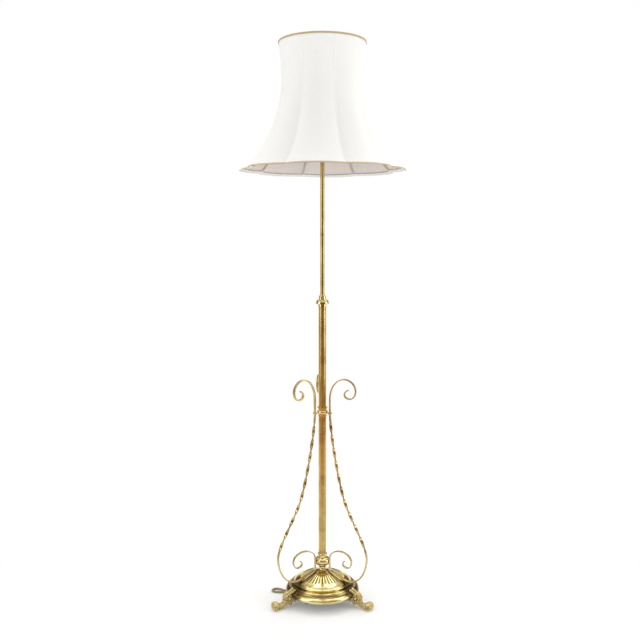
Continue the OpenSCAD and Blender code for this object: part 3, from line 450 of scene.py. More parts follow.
def cast_brass(name, hollow, crest, tarnish_and_shade, polish, relief):
    """Sand-cast brass, filed and buffed: soft lumps, bright crests, painted shade in the hollows.

    The surface's own curvature parts the hollows, darkened with painted shade, from the crests;
    lumps of 7 mm carry the tarnish and pits of 1.6 mm the gloss. relief is their depth in mm.
    """
    material, tree = start_finish(name)
    crests = add(tree, "NewGeometry").outputs["Pointiness"]
    lumps = object_noise(tree, 7, detail=4.0)
    pits = object_noise(tree, 1.6)
    # Painted shade: the hollow colour darkens the hollows, where the surface's curvature is low
    colour = blend(tree, crests, linear(hollow), linear(crest), 0.462, 0.53)
    colour = blend(tree, lumps, colour, linear(tarnish_and_shade), 0.5, 0.78)
    rough = blend(tree, pits, polish[0], polish[1], 0.3, 0.75)
    height = add(tree, "Math", {0: pits, 1: 0.3, 2: lumps}, operation="MULTIPLY_ADD").outputs[0]
    bump = add(tree, "Bump", {"Height": height, "Strength": 0.6, "Distance": relief * MM})
    shader = add(tree, "BsdfPrincipled", {
        "Base Color": colour, "Metallic": 1.0, "Roughness": rough, "Normal": bump.outputs[0],
    })
    end_finish(tree, shader)
    return material


def mottled(name, light, dark, grain, rough, relief, metallic=0.0, stretch=(1, 1, 1), coat=0.0):
    """Plain finish with a fine grain in its colour, gloss and surface.

    grain is the size of its specks in mm, which gather in clouds twelve times as
    wide, and relief is their depth in mm.
    """
    material, tree = start_finish(name)
    speck = object_noise(tree, grain, stretch)
    cloud = object_noise(tree, grain * 12, stretch)
    colour = blend(tree, speck, linear(light), linear(dark), 0.35, 0.75)
    colour = blend(tree, cloud, colour, linear(dark), 0.55, 0.95)
    bump = add(tree, "Bump", {"Height": speck, "Strength": 0.5, "Distance": relief * MM})
    shader = add(tree, "BsdfPrincipled", {
        "Base Color": colour, "Metallic": metallic, "Normal": bump.outputs[0],
        "Roughness": blend(tree, speck, rough[0], rough[1], 0.3, 0.7), "Coat Weight": coat,
    })
    end_finish(tree, shader)
    return material


def uv_waves(tree, along, across):
    """Sine of a slanted coordinate on the piece's own UV map, from -1 to 1.

    along and across are the waves per millimetre in the two directions.
    """
    place = add(tree, "TexCoord").outputs["UV"]
    turns = (2 * math.pi * along / MM, 2 * math.pi * across / MM, 0.0)
    phase = add(tree, "VectorMath", {0: place, 1: turns}, operation="DOT_PRODUCT")
    return add(tree, "Math", {0: phase.outputs["Value"]}, operation="SINE").outputs[0]


def woven(name, light, dark, pitch, relief, rough, sheen, slub_mm):
    """Plain weave: threads of two directions pass over and under each other.

    The product of a wave round the piece and one down it is high where one
    thread lies on top and low where the other does. pitch is two threads.
    """
    material, tree = start_finish(name)
    weft = uv_waves(tree, 1 / pitch, 0)
    warp = uv_waves(tree, 0, 1 / pitch)
    weave = add(tree, "Math", {0: weft, 1: warp}, operation="MULTIPLY").outputs[0]
    slub = object_noise(tree, slub_mm, (1, 1, 0.25))
    height = add(tree, "Math", {0: slub, 1: 1.6, 2: weave}, operation="MULTIPLY_ADD").outputs[0]
    colour = blend(tree, weave, linear(dark), linear(light), -1.0, 0.6)
    colour = blend(tree, slub, colour, linear(dark), 0.5, 0.95)
    bump = add(tree, "Bump", {"Height": height, "Strength": 0.4, "Distance": relief * MM})
    shader = add(tree, "BsdfPrincipled", {
        "Base Color": colour, "Normal": bump.outputs[0], "Sheen Weight": sheen,
        "Sheen Roughness": 0.4, "Roughness": blend(tree, slub, rough, rough + 0.12),
        "Specular IOR Level": 0.3,
    })
    end_finish(tree, shader)
    return material


def braided(name, light, dark, pitch, lean, relief, rough):
    """Braid: strands of two slants cross, with painted light on top and painted shade where both
    dip.

    Each is a slanted wave, and the greater of the two lies on top. pitch is their
    spacing in mm and lean their slant.
    """
    material, tree = start_finish(name)
    left = uv_waves(tree, 1 / pitch, lean / pitch)
    right = uv_waves(tree, 1 / pitch, -lean / pitch)
    height = add(tree, "Math", {0: left, 1: right}, operation="MAXIMUM").outputs[0]
    fluff = object_noise(tree, 0.9)
    # Painted shade where the strands dip and painted light where they lie on top
    colour = blend(tree, height, linear(dark), linear(light), -0.4, 1.0)
    colour = blend(tree, fluff, colour, linear(dark), 0.55, 0.85)
    bump = add(tree, "Bump", {"Height": height, "Strength": 0.6, "Distance": relief * MM})
    shader = add(tree, "BsdfPrincipled", {
        "Base Color": colour, "Normal": bump.outputs[0], "Sheen Weight": 0.3,
        "Roughness": blend(tree, fluff, rough, rough + 0.15),
    })
    end_finish(tree, shader)
    return material


FINISH = {
    # Turned brass, lacquered: soft rings round the axis and thin brown ageing
    "turned": aged_brass("brass_turned_lacquered", "#EADBA6", "#AF9150", (0.12, 0.18),
                         (0.15, 0.15, 1), 1.4, 0.004),
    # Spun over a chuck and hand-polished: cream crests, with painted shade round the brackets, on
    # the flute ridges and in the moulding
    "dome": dome_brass("brass_spun_painted_shade", "#EAD99C", "#B09250", "#6B5B30", (0.1, 0.18), 0.006),
    # Drawn tube: long marks run up it, and the lacquer has browned in places
    "drawn": aged_brass("brass_drawn_tube", "#D3BC7A", "#8E6C2E", (0.27, 0.32),
                        (1, 1, 0.04), 1.2, 0.001),
    # Flat bar, twisted hot and buffed: small dents and dark flecks in the twist
    "bar": aged_brass("brass_twisted_bar", "#D6C084", "#846833", (0.24, 0.36), (1, 1, 1), 5.0, 0.06),
    # Cast in sand and filed: bright crests over painted shade in the hollows
    "cast": cast_brass("brass_sand_cast", "#2C200C", "#F4DF9F", "#6E5424", (0.1, 0.17), 0.35),
    # Grey iron as cast: dark, matt and pitted
    "iron": mottled("iron_sand_cast", "#4A4A4B", "#2B2B2C", 1.4, (0.55, 0.8), 0.25, 0.8),
    # Zinc-plated steel: cool grey with a satin gloss
    "steel": mottled("steel_zinc_plated", "#A9ADB2", "#7E8288", 2.0, (0.3, 0.45), 0.03, 1.0),
    # Moulded phenolic plastic: nearly black with a soft sheen
    "black": mottled("plastic_black_moulded", "#2A2826", "#191816", 0.8, (0.42, 0.55), 0.05),
    # Turned nylon in its natural ivory: a waxy half gloss
    "nylon": mottled("nylon_natural_turned", "#E9E3D4", "#D8D0BC", 1.2, (0.35, 0.5), 0.03),
    # Rolled aluminium of the bulb's cap: fine rings round it
    "cap": mottled("aluminium_rolled", "#C9CACC", "#A6A8AC", 1.2, (0.25, 0.4), 0.03, 1.0, (1, 1, 6)),
    # Blown opal glass: milky, even and glossy
    "glass": mottled("glass_opal_blown", "#F3F1EA", "#E6E2D8", 14.0, (0.08, 0.14), 0.02, coat=0.6),
    # Steel wire with a baked white coat: slightly uneven and half gloss
    "wire": mottled("steel_wire_white_coated", "#EFECE5", "#DAD5CB", 1.2, (0.38, 0.55), 0.05),
    # Fine weave: its threads are drawn 1.1 mm apart, or they would not show
    "cloth": woven("cotton_shade_cover_woven", "#FAF9F6", "#F2F0EB", 2.2, 0.12, 0.72, 0.25, 5.0),
    # Satin lining, a little greyer and smoother; its threads are drawn 1 mm apart
    "lining": woven("satin_shade_lining_woven", "#E1DAD4", "#CFC6BE", 2.0, 0.05, 0.5, 0.35, 9.0),
    # Cotton tape: a matt weave in a warm grey, its threads drawn 0.8 mm apart
    "tape": woven("cotton_strut_tape_woven", "#CFC3B5", "#B3A594", 1.6, 0.15, 0.78, 0.2, 3.0),
    # Flat plait of gold-coloured thread, its strands 4 mm apart
    "gimp": braided("braid_gold_woven", "#DAC596", "#A08253", 4.0, 0.8, 0.4, 0.6),
    # Flex braided with faded gold cotton; its strands are drawn 3 mm apart, or they would not show
    "flex": braided("flex_cotton_braided", "#A3936C", "#75663F", 3.1, 0.5, 0.25, 0.65),
}


# Flex: one length from the bush under the base to the plug

def coil_points():
    """Centreline of the coil: a spiral in on the floor and out again on top.

    The radius shrinks by one pitch a turn up to the middle and grows again after
    it, and the height climbs one pitch in the half turn in which it reverses.
    """
    t = np.linspace(0, COIL_TURNS, int(POINTS_A_TURN * COIL_TURNS) + 1)
    angle = math.radians(90) - 2 * math.pi * t
    radius = COIL_R - COIL_PITCH * (COIL_TURNS / 2 - np.abs(t - COIL_TURNS / 2))
    climb = np.clip(2 * t - COIL_TURNS + 0.5, 0, 1)
    return np.stack([
        COIL_AT[0] + radius * np.cos(angle), COIL_AT[1] + radius * np.sin(angle),
        COIL_Z + COIL_PITCH * climb,
    ], 1)


def round_section(line, radius, sides):
    """Rings of a round tube along a line that mostly lies level.

    Each ring stands on the line's heading, with one axis level across it; where
    the line is upright that axis is Y, so the rings never turn over.
    """
    heading = headings(line)
    side = np.cross(heading, (0, 0, 1)) + (0, 1e-3, 0)
    side /= np.linalg.norm(side, axis=1, keepdims=True)
    up = np.cross(side, heading)
    angle = np.linspace(0, 2 * math.pi, sides, endpoint=False)[None, :, None]
    return line[:, None] + radius * (np.cos(angle) * side[:, None] + np.sin(angle) * up[:, None])


def sleeve_uv(line, round_mm, sides):
    """UVs in millimetres for rings along a line: the way along, and the way round."""
    along = length_along(line)[:, None] * np.ones(sides + 1)
    around = np.linspace(0, round_mm, sides + 1) * np.ones((len(line), 1))
    return np.stack([along, around], 2)


def make_flex():
    """Round flex along its route, kept on the floor, with its braid round it."""
    route = np.concatenate([OUT_ROUTE, coil_points(), TAIL_ROUTE])
    line = smoothed(route, FLEX_STEP)
    line[:, 2] = np.maximum(line[:, 2], FLEX_D / 2)
    sides = 14
    rings = round_section(line, FLEX_D / 2, sides)
    tube = shell(rings, uv=sleeve_uv(line, math.pi * FLEX_D, sides))
    flex = piece("flex_cord", mesh_of("flex_cord", [tube]), FINISH["flex"], "base", "flex",
                 "flex_run", "flex_coil", "flex_tail")


make_flex()


# Twisted supports and scroll brackets

def on_dome(radius, height):
    """Point over the dome's slope, height measured square to it."""
    level = DOME_Z - (radius - DOME_SEAT_R) * math.tan(DOME_SLOPE)
    return np.array([
        radius + height * math.sin(DOME_SLOPE), level + height * math.cos(DOME_SLOPE),
    ])


def bar_rings(path, width, thick, twist, skew, root_r, azimuth):
    """Rings of a flat bar with rounded edges, bent in an upright plane.

    Each ring is a rectangle with rounded corners. It is turned about the path by
    twist, and its plane is turned about the root by skew, then by the azimuth.
    """
    heading = headings(path)
    normal = np.stack([-heading[:, 1], heading[:, 0]], 1)
    soft = 0.3 * thick
    angle = np.linspace(0, math.pi / 2, 5)
    corner = np.concatenate([angle + k * math.pi / 2 for k in range(4)])
    sign = np.repeat([[1, 1], [-1, 1], [-1, -1], [1, -1]], 5, axis=0)
    u = sign[:, 0] * (width[:, None] / 2 - soft) + soft * np.cos(corner)
    v = sign[:, 1] * (thick / 2 - soft) + soft * np.sin(corner)
    c, s = np.cos(twist)[:, None], np.sin(twist)[:, None]
    u, v = u * c - v * s, u * s + v * c
    out = path[:, :1] + v * normal[:, :1] - root_r
    c, s = np.cos(skew)[:, None], np.sin(skew)[:, None]
    x, y = root_r + out * c - u * s, out * s + u * c
    z = path[:, 1:] + v * normal[:, 1:]
    c, s = math.cos(math.radians(azimuth)), math.sin(math.radians(azimuth))
    return np.stack([x * c - y * s, x * s + y * c, z], 2)


def rounded_ends(path, width, at_start=0.0, at_end=0.0):
    """The widths again, drawn in to a half round over a length at either end."""
    along = length_along(path)
    share = np.ones(len(path))
    if at_start:
        share = np.minimum(share, np.sqrt(np.clip(1 - (1 - along / at_start).clip(0) ** 2, 0.1, 1)))
    if at_end:
        rest = (along[-1] - along) / at_end
        share = np.minimum(share, np.sqrt(np.clip(1 - (1 - rest).clip(0) ** 2, 0.1, 1)))
    return width * share


def scroll(root, origin, reach, rise, shares):
    """Scroll of quarter ellipses from its root through its turning points.

    The turning points are shares of the reach and the rise from the origin, and
    the quarters leave them upright and level in turn.
    """
    turns = [root, *(origin + np.multiply(share, (reach, rise)) for share in shares)]
    legs = zip(turns, turns[1:])
    return np.concatenate([quarter(p, q, k % 2 == 0) for k, (p, q) in enumerate(legs)])


def support_path():
    """Path of a support: flat foot, belly, sweep in to the collar, upper scroll.

    Its cubic curves meet in one heading, with handles that are shares of the way
    between their ends. Returns it with the lengths between which the bar is twisted.
    """
    lift = BRACKET_T + SEAT_GAP + STRAP_T / 2
    belly = np.array([BELLY_R, DOME_Z + BELLY_UP])
    root = np.array([ROOT_R, COLLAR_Z])
    sweep = np.array([SWEEP_R, belly[1] + SWEEP_SHARE * (COLLAR_Z - belly[1])])
    lean = np.array([-math.sin(SWEEP_LEAN), math.cos(SWEEP_LEAN)])
    rise_run = np.linalg.norm(sweep - belly)
    draw_run = np.linalg.norm(root - sweep)
    flat = np.array([on_dome(SCREW_AT + side * FLAT_HALF, lift) for side in (-1, 1)])
    start = flat[-1]
    slope = np.array([math.cos(DOME_SLOPE), -math.sin(DOME_SLOPE)])
    hook = cubic(start, start + 0.66 * (belly[0] - start[0]) * slope,
                 belly - (0, 0.73 * BELLY_UP), belly, 60)
    climb = cubic(belly, belly + (0, 0.21 * rise_run), sweep - 0.32 * rise_run * lean, sweep, 80)
    draw_in = cubic(sweep, sweep + 0.24 * draw_run * lean, root - (0, 0.2 * draw_run), root, 120)
    top = root + (0, ROOT_RISE)
    curl = scroll(top, top, SCROLL_W, SCROLL_RISE, UPPER_SCROLL)
    before = length_along(np.concatenate([flat, hook]))[-1]
    after = length_along(np.concatenate([flat, hook, climb, draw_in]))[-1]
    path, = respaced(np.concatenate([flat, hook, climb, draw_in, curl]), STRAP_STEP)
    return path, before + TWIST_PAST_BELLY, after - TWIST_SHORT_OF_COLLAR


def make_supports():
    """Three twisted supports: the twist runs evenly between its two lengths, and the
    scroll's plane turns aside just above the collar.
    """
    path, twist_from, twist_to = support_path()
    along = length_along(path)
    twist = math.pi * HALF_TURNS * np.clip((along - twist_from) / (twist_to - twist_from), 0, 1)
    skew = SCROLL_SKEW * np.clip((path[:, 1] - COLLAR_Z - SKEW_FROM) / SKEW_OVER, 0, 1)
    width = rounded_ends(path, np.full(len(path), STRAP_W), at_start=3.0, at_end=4.0)
    for side, azimuth in AZIMUTHS.items():
        rings = bar_rings(path, width, STRAP_T, twist, skew, ROOT_R, azimuth)
        mesh = mesh_of(f"support_{side}", [shell(rings)])
        piece(f"twisted_support_{side}", mesh, FINISH["bar"], "base", "brass", f"support_{side}")


def leaf_width(radius):
    """Width of a bracket's foot: it swells to the screw as a power of 1.4 of the way
    there, and beyond it ends in half a circle.
    """
    share = np.maximum(0, radius - SWELL_FROM) / (SCREW_AT - SWELL_FROM)
    swell = BRACKET_W + (LEAF_W - BRACKET_W) * share ** 1.4
    end = LEAF_W * np.sqrt(np.clip(1.04 - ((radius - SCREW_AT) / LEAF_TIP) ** 2, 0.01, 1))
    return np.where(radius > SCREW_AT, end, swell)


def bracket_path():
    """Path and widths of a bracket: leaf on the dome, leg up the neck, scroll."""
    lift = (BRACKET_T + SEAT_GAP) / 2
    leg_r = KNOP_R + BRACKET_T / 2 + SEAT_GAP
    radii = SCREW_AT + np.linspace(LEAF_TIP, -LEAF_RUN, 40)
    leaf = np.array([on_dome(r, lift) for r in radii])
    heel = leaf[-1]
    slope = np.array([-math.cos(DOME_SLOPE), math.sin(DOME_SLOPE)])
    bend = cubic(heel, heel + 7 * slope, (leg_r, DOME_Z - 2), (leg_r, DOME_Z + 3), 20)
    foot = np.array([leg_r, DOME_Z])
    curl = scroll(foot + (0, LEG_RISE), foot, BRACKET_REACH, BRACKET_RISE, LOWER_SCROLL)
    path = np.concatenate([leaf, bend, curl])
    width = np.concatenate([leaf_width(radii), np.full(len(bend) + len(curl), BRACKET_W)])
    return (*respaced(path, BRACKET_STEP, width), leg_r)


def make_brackets():
    """Three scroll brackets between the feet of the supports and the neck."""
    path, width, leg_r = bracket_path()
    width = rounded_ends(path, width, at_end=3.5)
    flat = np.zeros(len(path))
    for side, azimuth in AZIMUTHS.items():
        rings = bar_rings(path, width, BRACKET_T, flat, flat, leg_r, azimuth)
        mesh = mesh_of(f"bracket_{side}", [shell(rings)])
        piece(f"scroll_bracket_{side}", mesh, FINISH["bar"], "base", "brass", f"bracket_{side}")


make_supports()
make_brackets()


# Cast feet: the frame's feet with the soft edges of a casting

def softened(node, voxel_mm, passes):
    """Mesh of a CAD node after a fine remesh and a few passes of smoothing."""
    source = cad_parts[node]
    copy = bpy.data.objects.new("soft_copy", source.data.copy())
    bpy.context.scene.collection.objects.link(copy)
    weld = copy.modifiers.new("weld", "WELD")
    weld.merge_threshold = 1e-5
    remesh = copy.modifiers.new("remesh", "REMESH")
    remesh.mode = "VOXEL"
    remesh.voxel_size = voxel_mm * MM
    smooth = copy.modifiers.new("smooth", "SMOOTH")
    smooth.iterations = passes
    smooth.factor = 0.5
    seen = copy.evaluated_get(bpy.context.evaluated_depsgraph_get())
    mesh = bpy.data.meshes.new_from_object(seen)
    bpy.data.objects.remove(copy)
    mesh.shade_smooth()
    return mesh


def ramp(value, start, stop):
    """Share that rises softly from 0 at start to 1 at stop."""
    t = np.clip((value - start) / (stop - start), 0, 1)
    return t * t * (3 - 2 * t)


def carve_foot(mesh, azimuth):
    """Leaf and scroll relief of a cast foot, as a rise along the surface's normals.

    Beside the knee it is a rosette, the cosine of the petals' count times the
    angle round the knee, with a boss in its middle. Beside the toe it is a
    scroll, a wave of the distance from the toe's middle plus the angle round it.
    On the faces that look out and up it is the ribs of a leaf, a wave across the
    foot that fans out from the knee, under a finer wave down the foot. The part
    inside the base's rim and the sole stay as they are.
    """
    points = np.empty((len(mesh.vertices), 3))
    mesh.vertices.foreach_get("co", points.ravel())
    normals = np.empty_like(points)
    mesh.vertex_normals.foreach_get("vector", normals.ravel())
    turn = math.radians(azimuth)
    out = np.array([math.cos(turn), math.sin(turn), 0.0])
    across = np.array([-math.sin(turn), math.cos(turn), 0.0])
    x, y, z = points @ out / MM, points @ across / MM, points[:, 2] / MM
    sideways = ramp(np.abs(normals @ across), 0.45, 0.85)
    knee_far = np.hypot(x - KNEE_AT[0], z - KNEE_AT[1])
    knee_angle = np.arctan2(z - KNEE_AT[1], x - KNEE_AT[0])
    toe_far = np.hypot(x - TOE_AT[0], z - TOE_AT[1])
    toe_angle = np.arctan2(z - TOE_AT[1], x - TOE_AT[0])
    ring = ramp(knee_far, BOSS_R + 1.1, BOSS_R + 3.6) * ramp(knee_far, KNEE_R, KNEE_R - 2.5)
    boss = BOSS_RISE * ramp(knee_far, BOSS_R + 1.2, BOSS_R)
    rosette = PETAL_DEPTH * np.cos(PETALS * knee_angle) * ring + boss
    winding = 2 * math.pi * toe_far / SCROLL_PITCH + toe_angle
    curl = SCROLL_DEPTH * np.cos(winding) * ramp(toe_far, TOE_R, TOE_R - 2)
    spread = 1 + 0.35 * ramp(x, KNEE_AT[0], TOE_AT[0])
    ribs = RIB_DEPTH * np.cos(2 * math.pi * y / (RIB_PITCH * spread)) * ramp(np.abs(y), 14, 10)
    ribs += FROND_DEPTH * np.cos(2 * math.pi * (x - z) / FROND_PITCH + 1.2 * np.abs(y) / spread)
    height = sideways * (rosette + curl) + (1 - sideways) * ribs
    height *= ramp(x, RIM_R + 2, RIM_R + 6) * ramp(z, 2.5, 5)
    points += (height * MM)[:, None] * normals
    mesh.vertices.foreach_set("co", points.ravel())
    mesh.update()


def make_feet():
    """Three feet, each carved in its own direction."""
    for side, azimuth in AZIMUTHS.items():
        mesh = softened(f"foot_{side}", voxel_mm=0.7, passes=4)
        carve_foot(mesh, azimuth)
        piece(f"cast_foot_{side}", mesh, FINISH["cast"], "base", "brass", f"foot_{side}")


make_feet()


# Shade

# Profile as radius and depth: in from the top rim to the waist, then out to the bottom
# rim, each a cubic curve with handles of the lengths that are added here
PROFILE = np.concatenate([
    cubic((TOP_R, 0), (TOP_R - 1.5, 12), (WAIST_R, WAIST_DEPTH - 50), (WAIST_R, WAIST_DEPTH), 40),
    cubic((WAIST_R, WAIST_DEPTH), (WAIST_R, WAIST_DEPTH + 110),
          (BOTTOM_R - 70, SHADE_H - 49), (BOTTOM_R, SHADE_H), 90)[1:],
])


def cover_radius(depth, off):
    """Radius of the cover at depths below its top and angles off a panel's middle.

    Each panel is an arc in plan. Its crown is on the profile, its edges are on
    the notch line, which falls back from the profile as a power of the depth, and
    its centre is where both hold.
    """
    crown = np.interp(depth, PROFILE[:, 1], PROFILE[:, 0])
    notch = crown - NOTCH_DEPTH * (depth / SHADE_H) ** NOTCH_POWER
    centre = (crown ** 2 - notch ** 2) / (2 * (crown - notch * math.cos(HALF_PANEL)))
    return centre * np.cos(off) + np.sqrt((crown - centre) ** 2 - (centre * np.sin(off)) ** 2)


def panel_angles(per_panel, edge):
    """Azimuths round the shade, each with its angle off its panel's middle.

    edge holds the columns that draw the seam, in degrees from a panel's edge, and
    the others are spread evenly between them.
    """
    side = HALF_PANEL_DEG - np.array(edge)
    middle = np.linspace(-side.min(), side.min(), per_panel)
    off = np.unique(np.concatenate([middle, -side, side]))
    off = np.radians(off[off < HALF_PANEL_DEG - 1e-9])
    base = SHADE_TURN + 2 * HALF_PANEL * np.arange(PANELS)
    return (base[:, None] + off).ravel(), np.tile(off, PANELS)


def round_shade(azimuth, radius, depth):
    """Points at those azimuths, radii and depths of the shade."""
    return np.stack([
        radius * np.cos(azimuth), radius * np.sin(azimuth),
        SHADE_TOP_Z - depth + np.zeros_like(radius),
    ], -1)


def cloth_shell(azimuth, off, rows, outer, inner, relief=None):
    """Closed cloth between two offsets from the cover, with relief on its outside."""
    depth = np.concatenate([rows, rows[::-1]])
    offset = np.concatenate([np.full(len(rows), outer), np.full(len(rows), inner)])
    radius = cover_radius(depth[None], off[:, None]) + offset[None]
    if relief:
        radius[:, :len(rows)] += relief(radius[:, :len(rows)], off)
    rings = round_shade(azimuth[:, None], radius, depth[None])
    turn = np.append(azimuth, azimuth[0] + 2 * math.pi)
    down = np.append(depth, depth[0])
    uv = np.stack(np.meshgrid(turn * CLOTH_UV_R, down, indexing="ij"), -1)
    return shell(rings, looped=True, uv=uv)


def seam_welt(radius, off):
    """Low welt where two panels are sewn together over a strut: a bell curve of the
    distance from the panel's edge, with a shallower one cut out on each side of it.
    """
    from_edge = radius * (HALF_PANEL - np.abs(off))[:, None]
    welt = WELT_RISE * np.exp(-(from_edge / WELT_HALF) ** 2)
    return welt - DIP_DEPTH * np.exp(-((from_edge - DIP_AT) / DIP_HALF) ** 2)


def make_cover():
    """Cover of eight panels with sewn seams, and the lining close inside it."""
    azimuth, off = panel_angles(per_panel=22, edge=(0.0, 0.2, 0.4, 0.65, 0.95, 1.4))
    hems = [1.5, 3, SHADE_H - 3, SHADE_H - 1.5]
    rows = np.unique(np.concatenate([np.linspace(0, SHADE_H, 64), hems]))
    cloth = cloth_shell(azimuth, off, rows, 0.0, -CLOTH_T, seam_welt)
    cover = piece("shade_cloth", mesh_of("shade_cloth", [cloth]), FINISH["cloth"], "shade",
                  "shade_fabric", "shade_cover")
    lining_off = -CLOTH_T - SEAT_GAP
    azimuth, off = panel_angles(per_panel=17, edge=(0.0, 1.2))
    rows = np.linspace(CLOTH_T, SHADE_H - CLOTH_T, 48)
    cloth = cloth_shell(azimuth, off, rows, lining_off, lining_off - LINING_T)
    lining = piece("lining_cloth", mesh_of("lining_cloth", [cloth]), FINISH["lining"], "shade",
                   "lining_fabric", "shade_lining")


def braid_shell(radius_of, depth_from, depth_to, columns, pitch):
    """Woven braid round the shade: two corded edges and crossing strands between.

    The height of the strands is the greater of two slanted waves, so they cross
    as in a flat plait; the edges are round cords beaded at the same pitch.
    """
    azimuth = np.linspace(0, 2 * math.pi, columns, endpoint=False)
    across = np.linspace(0, 1, 11)
    depth = depth_from + (depth_to - depth_from) * across
    radius = radius_of(depth[None], azimuth[:, None])
    way = azimuth[:, None] * radius.mean()
    repeats = round(2 * math.pi * radius.mean() / pitch)
    phase = azimuth[:, None] * repeats
    slant = STRAND_SLANT * across
    plait = np.maximum(np.sin(phase + slant), np.sin(phase - slant + 1.2))
    from_cord = np.minimum(across, 1 - across) - EDGE_CORD
    edge = np.exp(-(from_cord / EDGE_CORD) ** 2)
    relief = 0.55 + 0.28 * plait * (1 - edge) + edge * (0.28 + 0.12 * np.sin(2 * phase))
    outer = round_shade(azimuth[:, None], radius + relief, depth[None])
    inner = round_shade(azimuth[:, None], radius + 0.15, depth[None])[:, ::-1]
    rings = np.concatenate([outer, inner], 1)
    turn = np.append(way[:, 0], 2 * math.pi * radius.mean())
    down = np.concatenate([depth, depth[::-1], depth[:1]])
    uv = np.stack(np.meshgrid(turn, down, indexing="ij"), -1)
    return shell(rings, looped=True, uv=uv)


def cover_outline(depth, azimuth):
    """Radius of the cover's outside at any azimuth."""
    off = (azimuth - SHADE_TURN + HALF_PANEL) % (2 * HALF_PANEL) - HALF_PANEL
    return cover_radius(depth, off)


def make_braids():
    """Braid on the round top rim, and braid that follows the panels of the bottom rim."""
    top = braid_shell(lambda d, a: TOP_R + 0.2 + 0 * d * a, -0.3, BRAID_W, 900, BRAID_PITCH)
    piece("gimp_top", mesh_of("gimp_top", [top]), FINISH["gimp"], "shade", "braid", "top_braid")
    bottom = braid_shell(lambda d, a: cover_outline(np.minimum(d, SHADE_H), a) + 0.5,
                         SHADE_H - BRAID_W, SHADE_H + 0.3, 1500, BRAID_PITCH)
    piece("gimp_bottom", mesh_of("gimp_bottom", [bottom]), FINISH["gimp"], "shade", "braid",
          "bottom_braid")


def strut_tape(azimuth):
    """Cotton tape over one strut on the inside: a low hump with two flat edges.

    Its section is carried down the strut, which runs a set distance inside the
    lining. The edges lie back with the panels on either side.
    """
    depth = np.linspace(TAPE_INSET, SHADE_H - TAPE_INSET, 60)
    radius = cover_radius(depth, HALF_PANEL) - 2 * CLOTH_T - SEAT_GAP
    line = np.stack([radius, -depth], 1)
    heading = headings(line)
    inward = np.stack([heading[:, 1], -heading[:, 0]], 1)
    line = line + (WIRE_R + SEAT_GAP) * inward
    half = np.array([0, 0.9, 1.7, 2.35, 3.0, 4.2, 5.5])
    swell = np.array([1.07, 1.03, 0.88, 0.55, 0.2, 0, 0])
    across = np.concatenate([-half[:0:-1], half])
    hump = np.concatenate([swell[:0:-1], swell])
    back = cover_radius(depth[:, None], HALF_PANEL - np.abs(across) / radius[:, None])
    fall = back - cover_radius(depth[:, None], HALF_PANEL)
    low = -(WIRE_R + SEAT_GAP) + 0.35
    face = low + (WIRE_R + 0.5 - low) * hump - fall * (1 - hump)
    face = np.concatenate([face, (face - TAPE_T)[:, ::-1]], 1)
    across = np.concatenate([across, across[::-1]])
    out = line[:, :1] + face * inward[:, :1]
    z = SHADE_TOP_Z + line[:, 1:] + face * inward[:, 1:]
    c, s = math.cos(azimuth), math.sin(azimuth)
    side = across + np.zeros_like(out)
    rings = np.stack([out * c - side * s, out * s + side * c, z], 2)
    along = length_along(line)
    around = np.append(across, across[0])
    uv = np.stack(np.meshgrid(along, around, indexing="ij"), -1)
    return shell(rings, uv=uv)


def make_tapes():
    """One piece of all the tapes, one to each panel's edge."""
    tapes = [strut_tape(SHADE_TURN + HALF_PANEL * (2 * k - 1)) for k in range(PANELS)]
    piece("strut_tapes", mesh_of("strut_tapes", tapes), FINISH["tape"], "shade", "lining_fabric")


make_cover()
make_braids()
make_tapes()


# Finishes of the frame's own pieces

NODE_FINISH = {
    "dome": ["base_shell"],
    "turned": ["centre_rod", "neck_waist", "neck_knop", "neck_ring", "ball_screws",
               "mid_collar", "strap_clips", "clamp_collar", "collet", "clamp_nut", "pole_rings",
               "pole_nipple", "carrier_nut", "holder_cap", "holder_body", "holder_ring",
               "switch_bar", "plug_pins", "holder_contacts"],
    "drawn": ["outer_tube", "inner_pole", "tube_plug", "shade_carrier"],
    "iron": ["base_weight"],
    "steel": ["base_cover", "rod_nut", "rod_washer", "foot_screws"],
    "black": ["flex_bush", "holder_insert", "flex_tie", "plug_body"],
    "nylon": ["pole_bush"],
    "cap": ["bulb_cap"],
    "glass": ["bulb_glass"],
    "wire": ["shade_top_ring", "shade_bottom_ring", "shade_struts", "shade_fitter"],
    "flex": ["pole_flex", "slack_flex"],
}

for finish, nodes in NODE_FINISH.items():
    for node in nodes:
        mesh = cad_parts[node].data
        mesh.materials.clear()
        mesh.materials.append(FINISH[finish])


# Floor, surroundings and light

WHITE = "#FFFFFF"

# Room that metal sees: its side walls, its two ends and its floor boards
SIDE_TONE = "#ADA495"
END_TONE = "#7F6745"
BOARD_TONE = "#DD9E5E"

# Where each of its parts starts and is full, on the unit direction of a look: the ends by
# how far it goes out or back, the backdrop by how far out, the last two by how far up
ENDS_FROM = (0.5, 0.85)
BACKDROP_FROM = (0.3, 0.7)
BACKDROP_UNDER = (0.26, 0.12)
CEILING_FROM = (0.42, 0.72)

# Strength of the white that lights all but metal and glass
SOFT_WHITE = 0.68

# Floor, in metres: its round edge, where it goes over into white and where the boards lie,
# with its own grey and how much its shadow is lifted
FLOOR_R = 3.2
FLOOR_Z = -0.0004
FLOOR_SIDES = 96
FLOOR_FADES = (0.45, 1.1)
BOARDS_FROM = (-0.7, -1.0)
FLOOR_TONE = "#F1F1F1"
SHADOW_LIFT = 0.12


def seen_rays(tree):
    """1 for rays that see the background: from the camera, or off metal or glass."""
    seen = 0.0
    for kind in ("Is Camera Ray", "Is Glossy Ray", "Is Transmission Ray"):
        ray = add(tree, "LightPath").outputs[kind]
        seen = add(tree, "Math", {0: seen, 1: ray}, operation="MAXIMUM").outputs[0]
    return seen


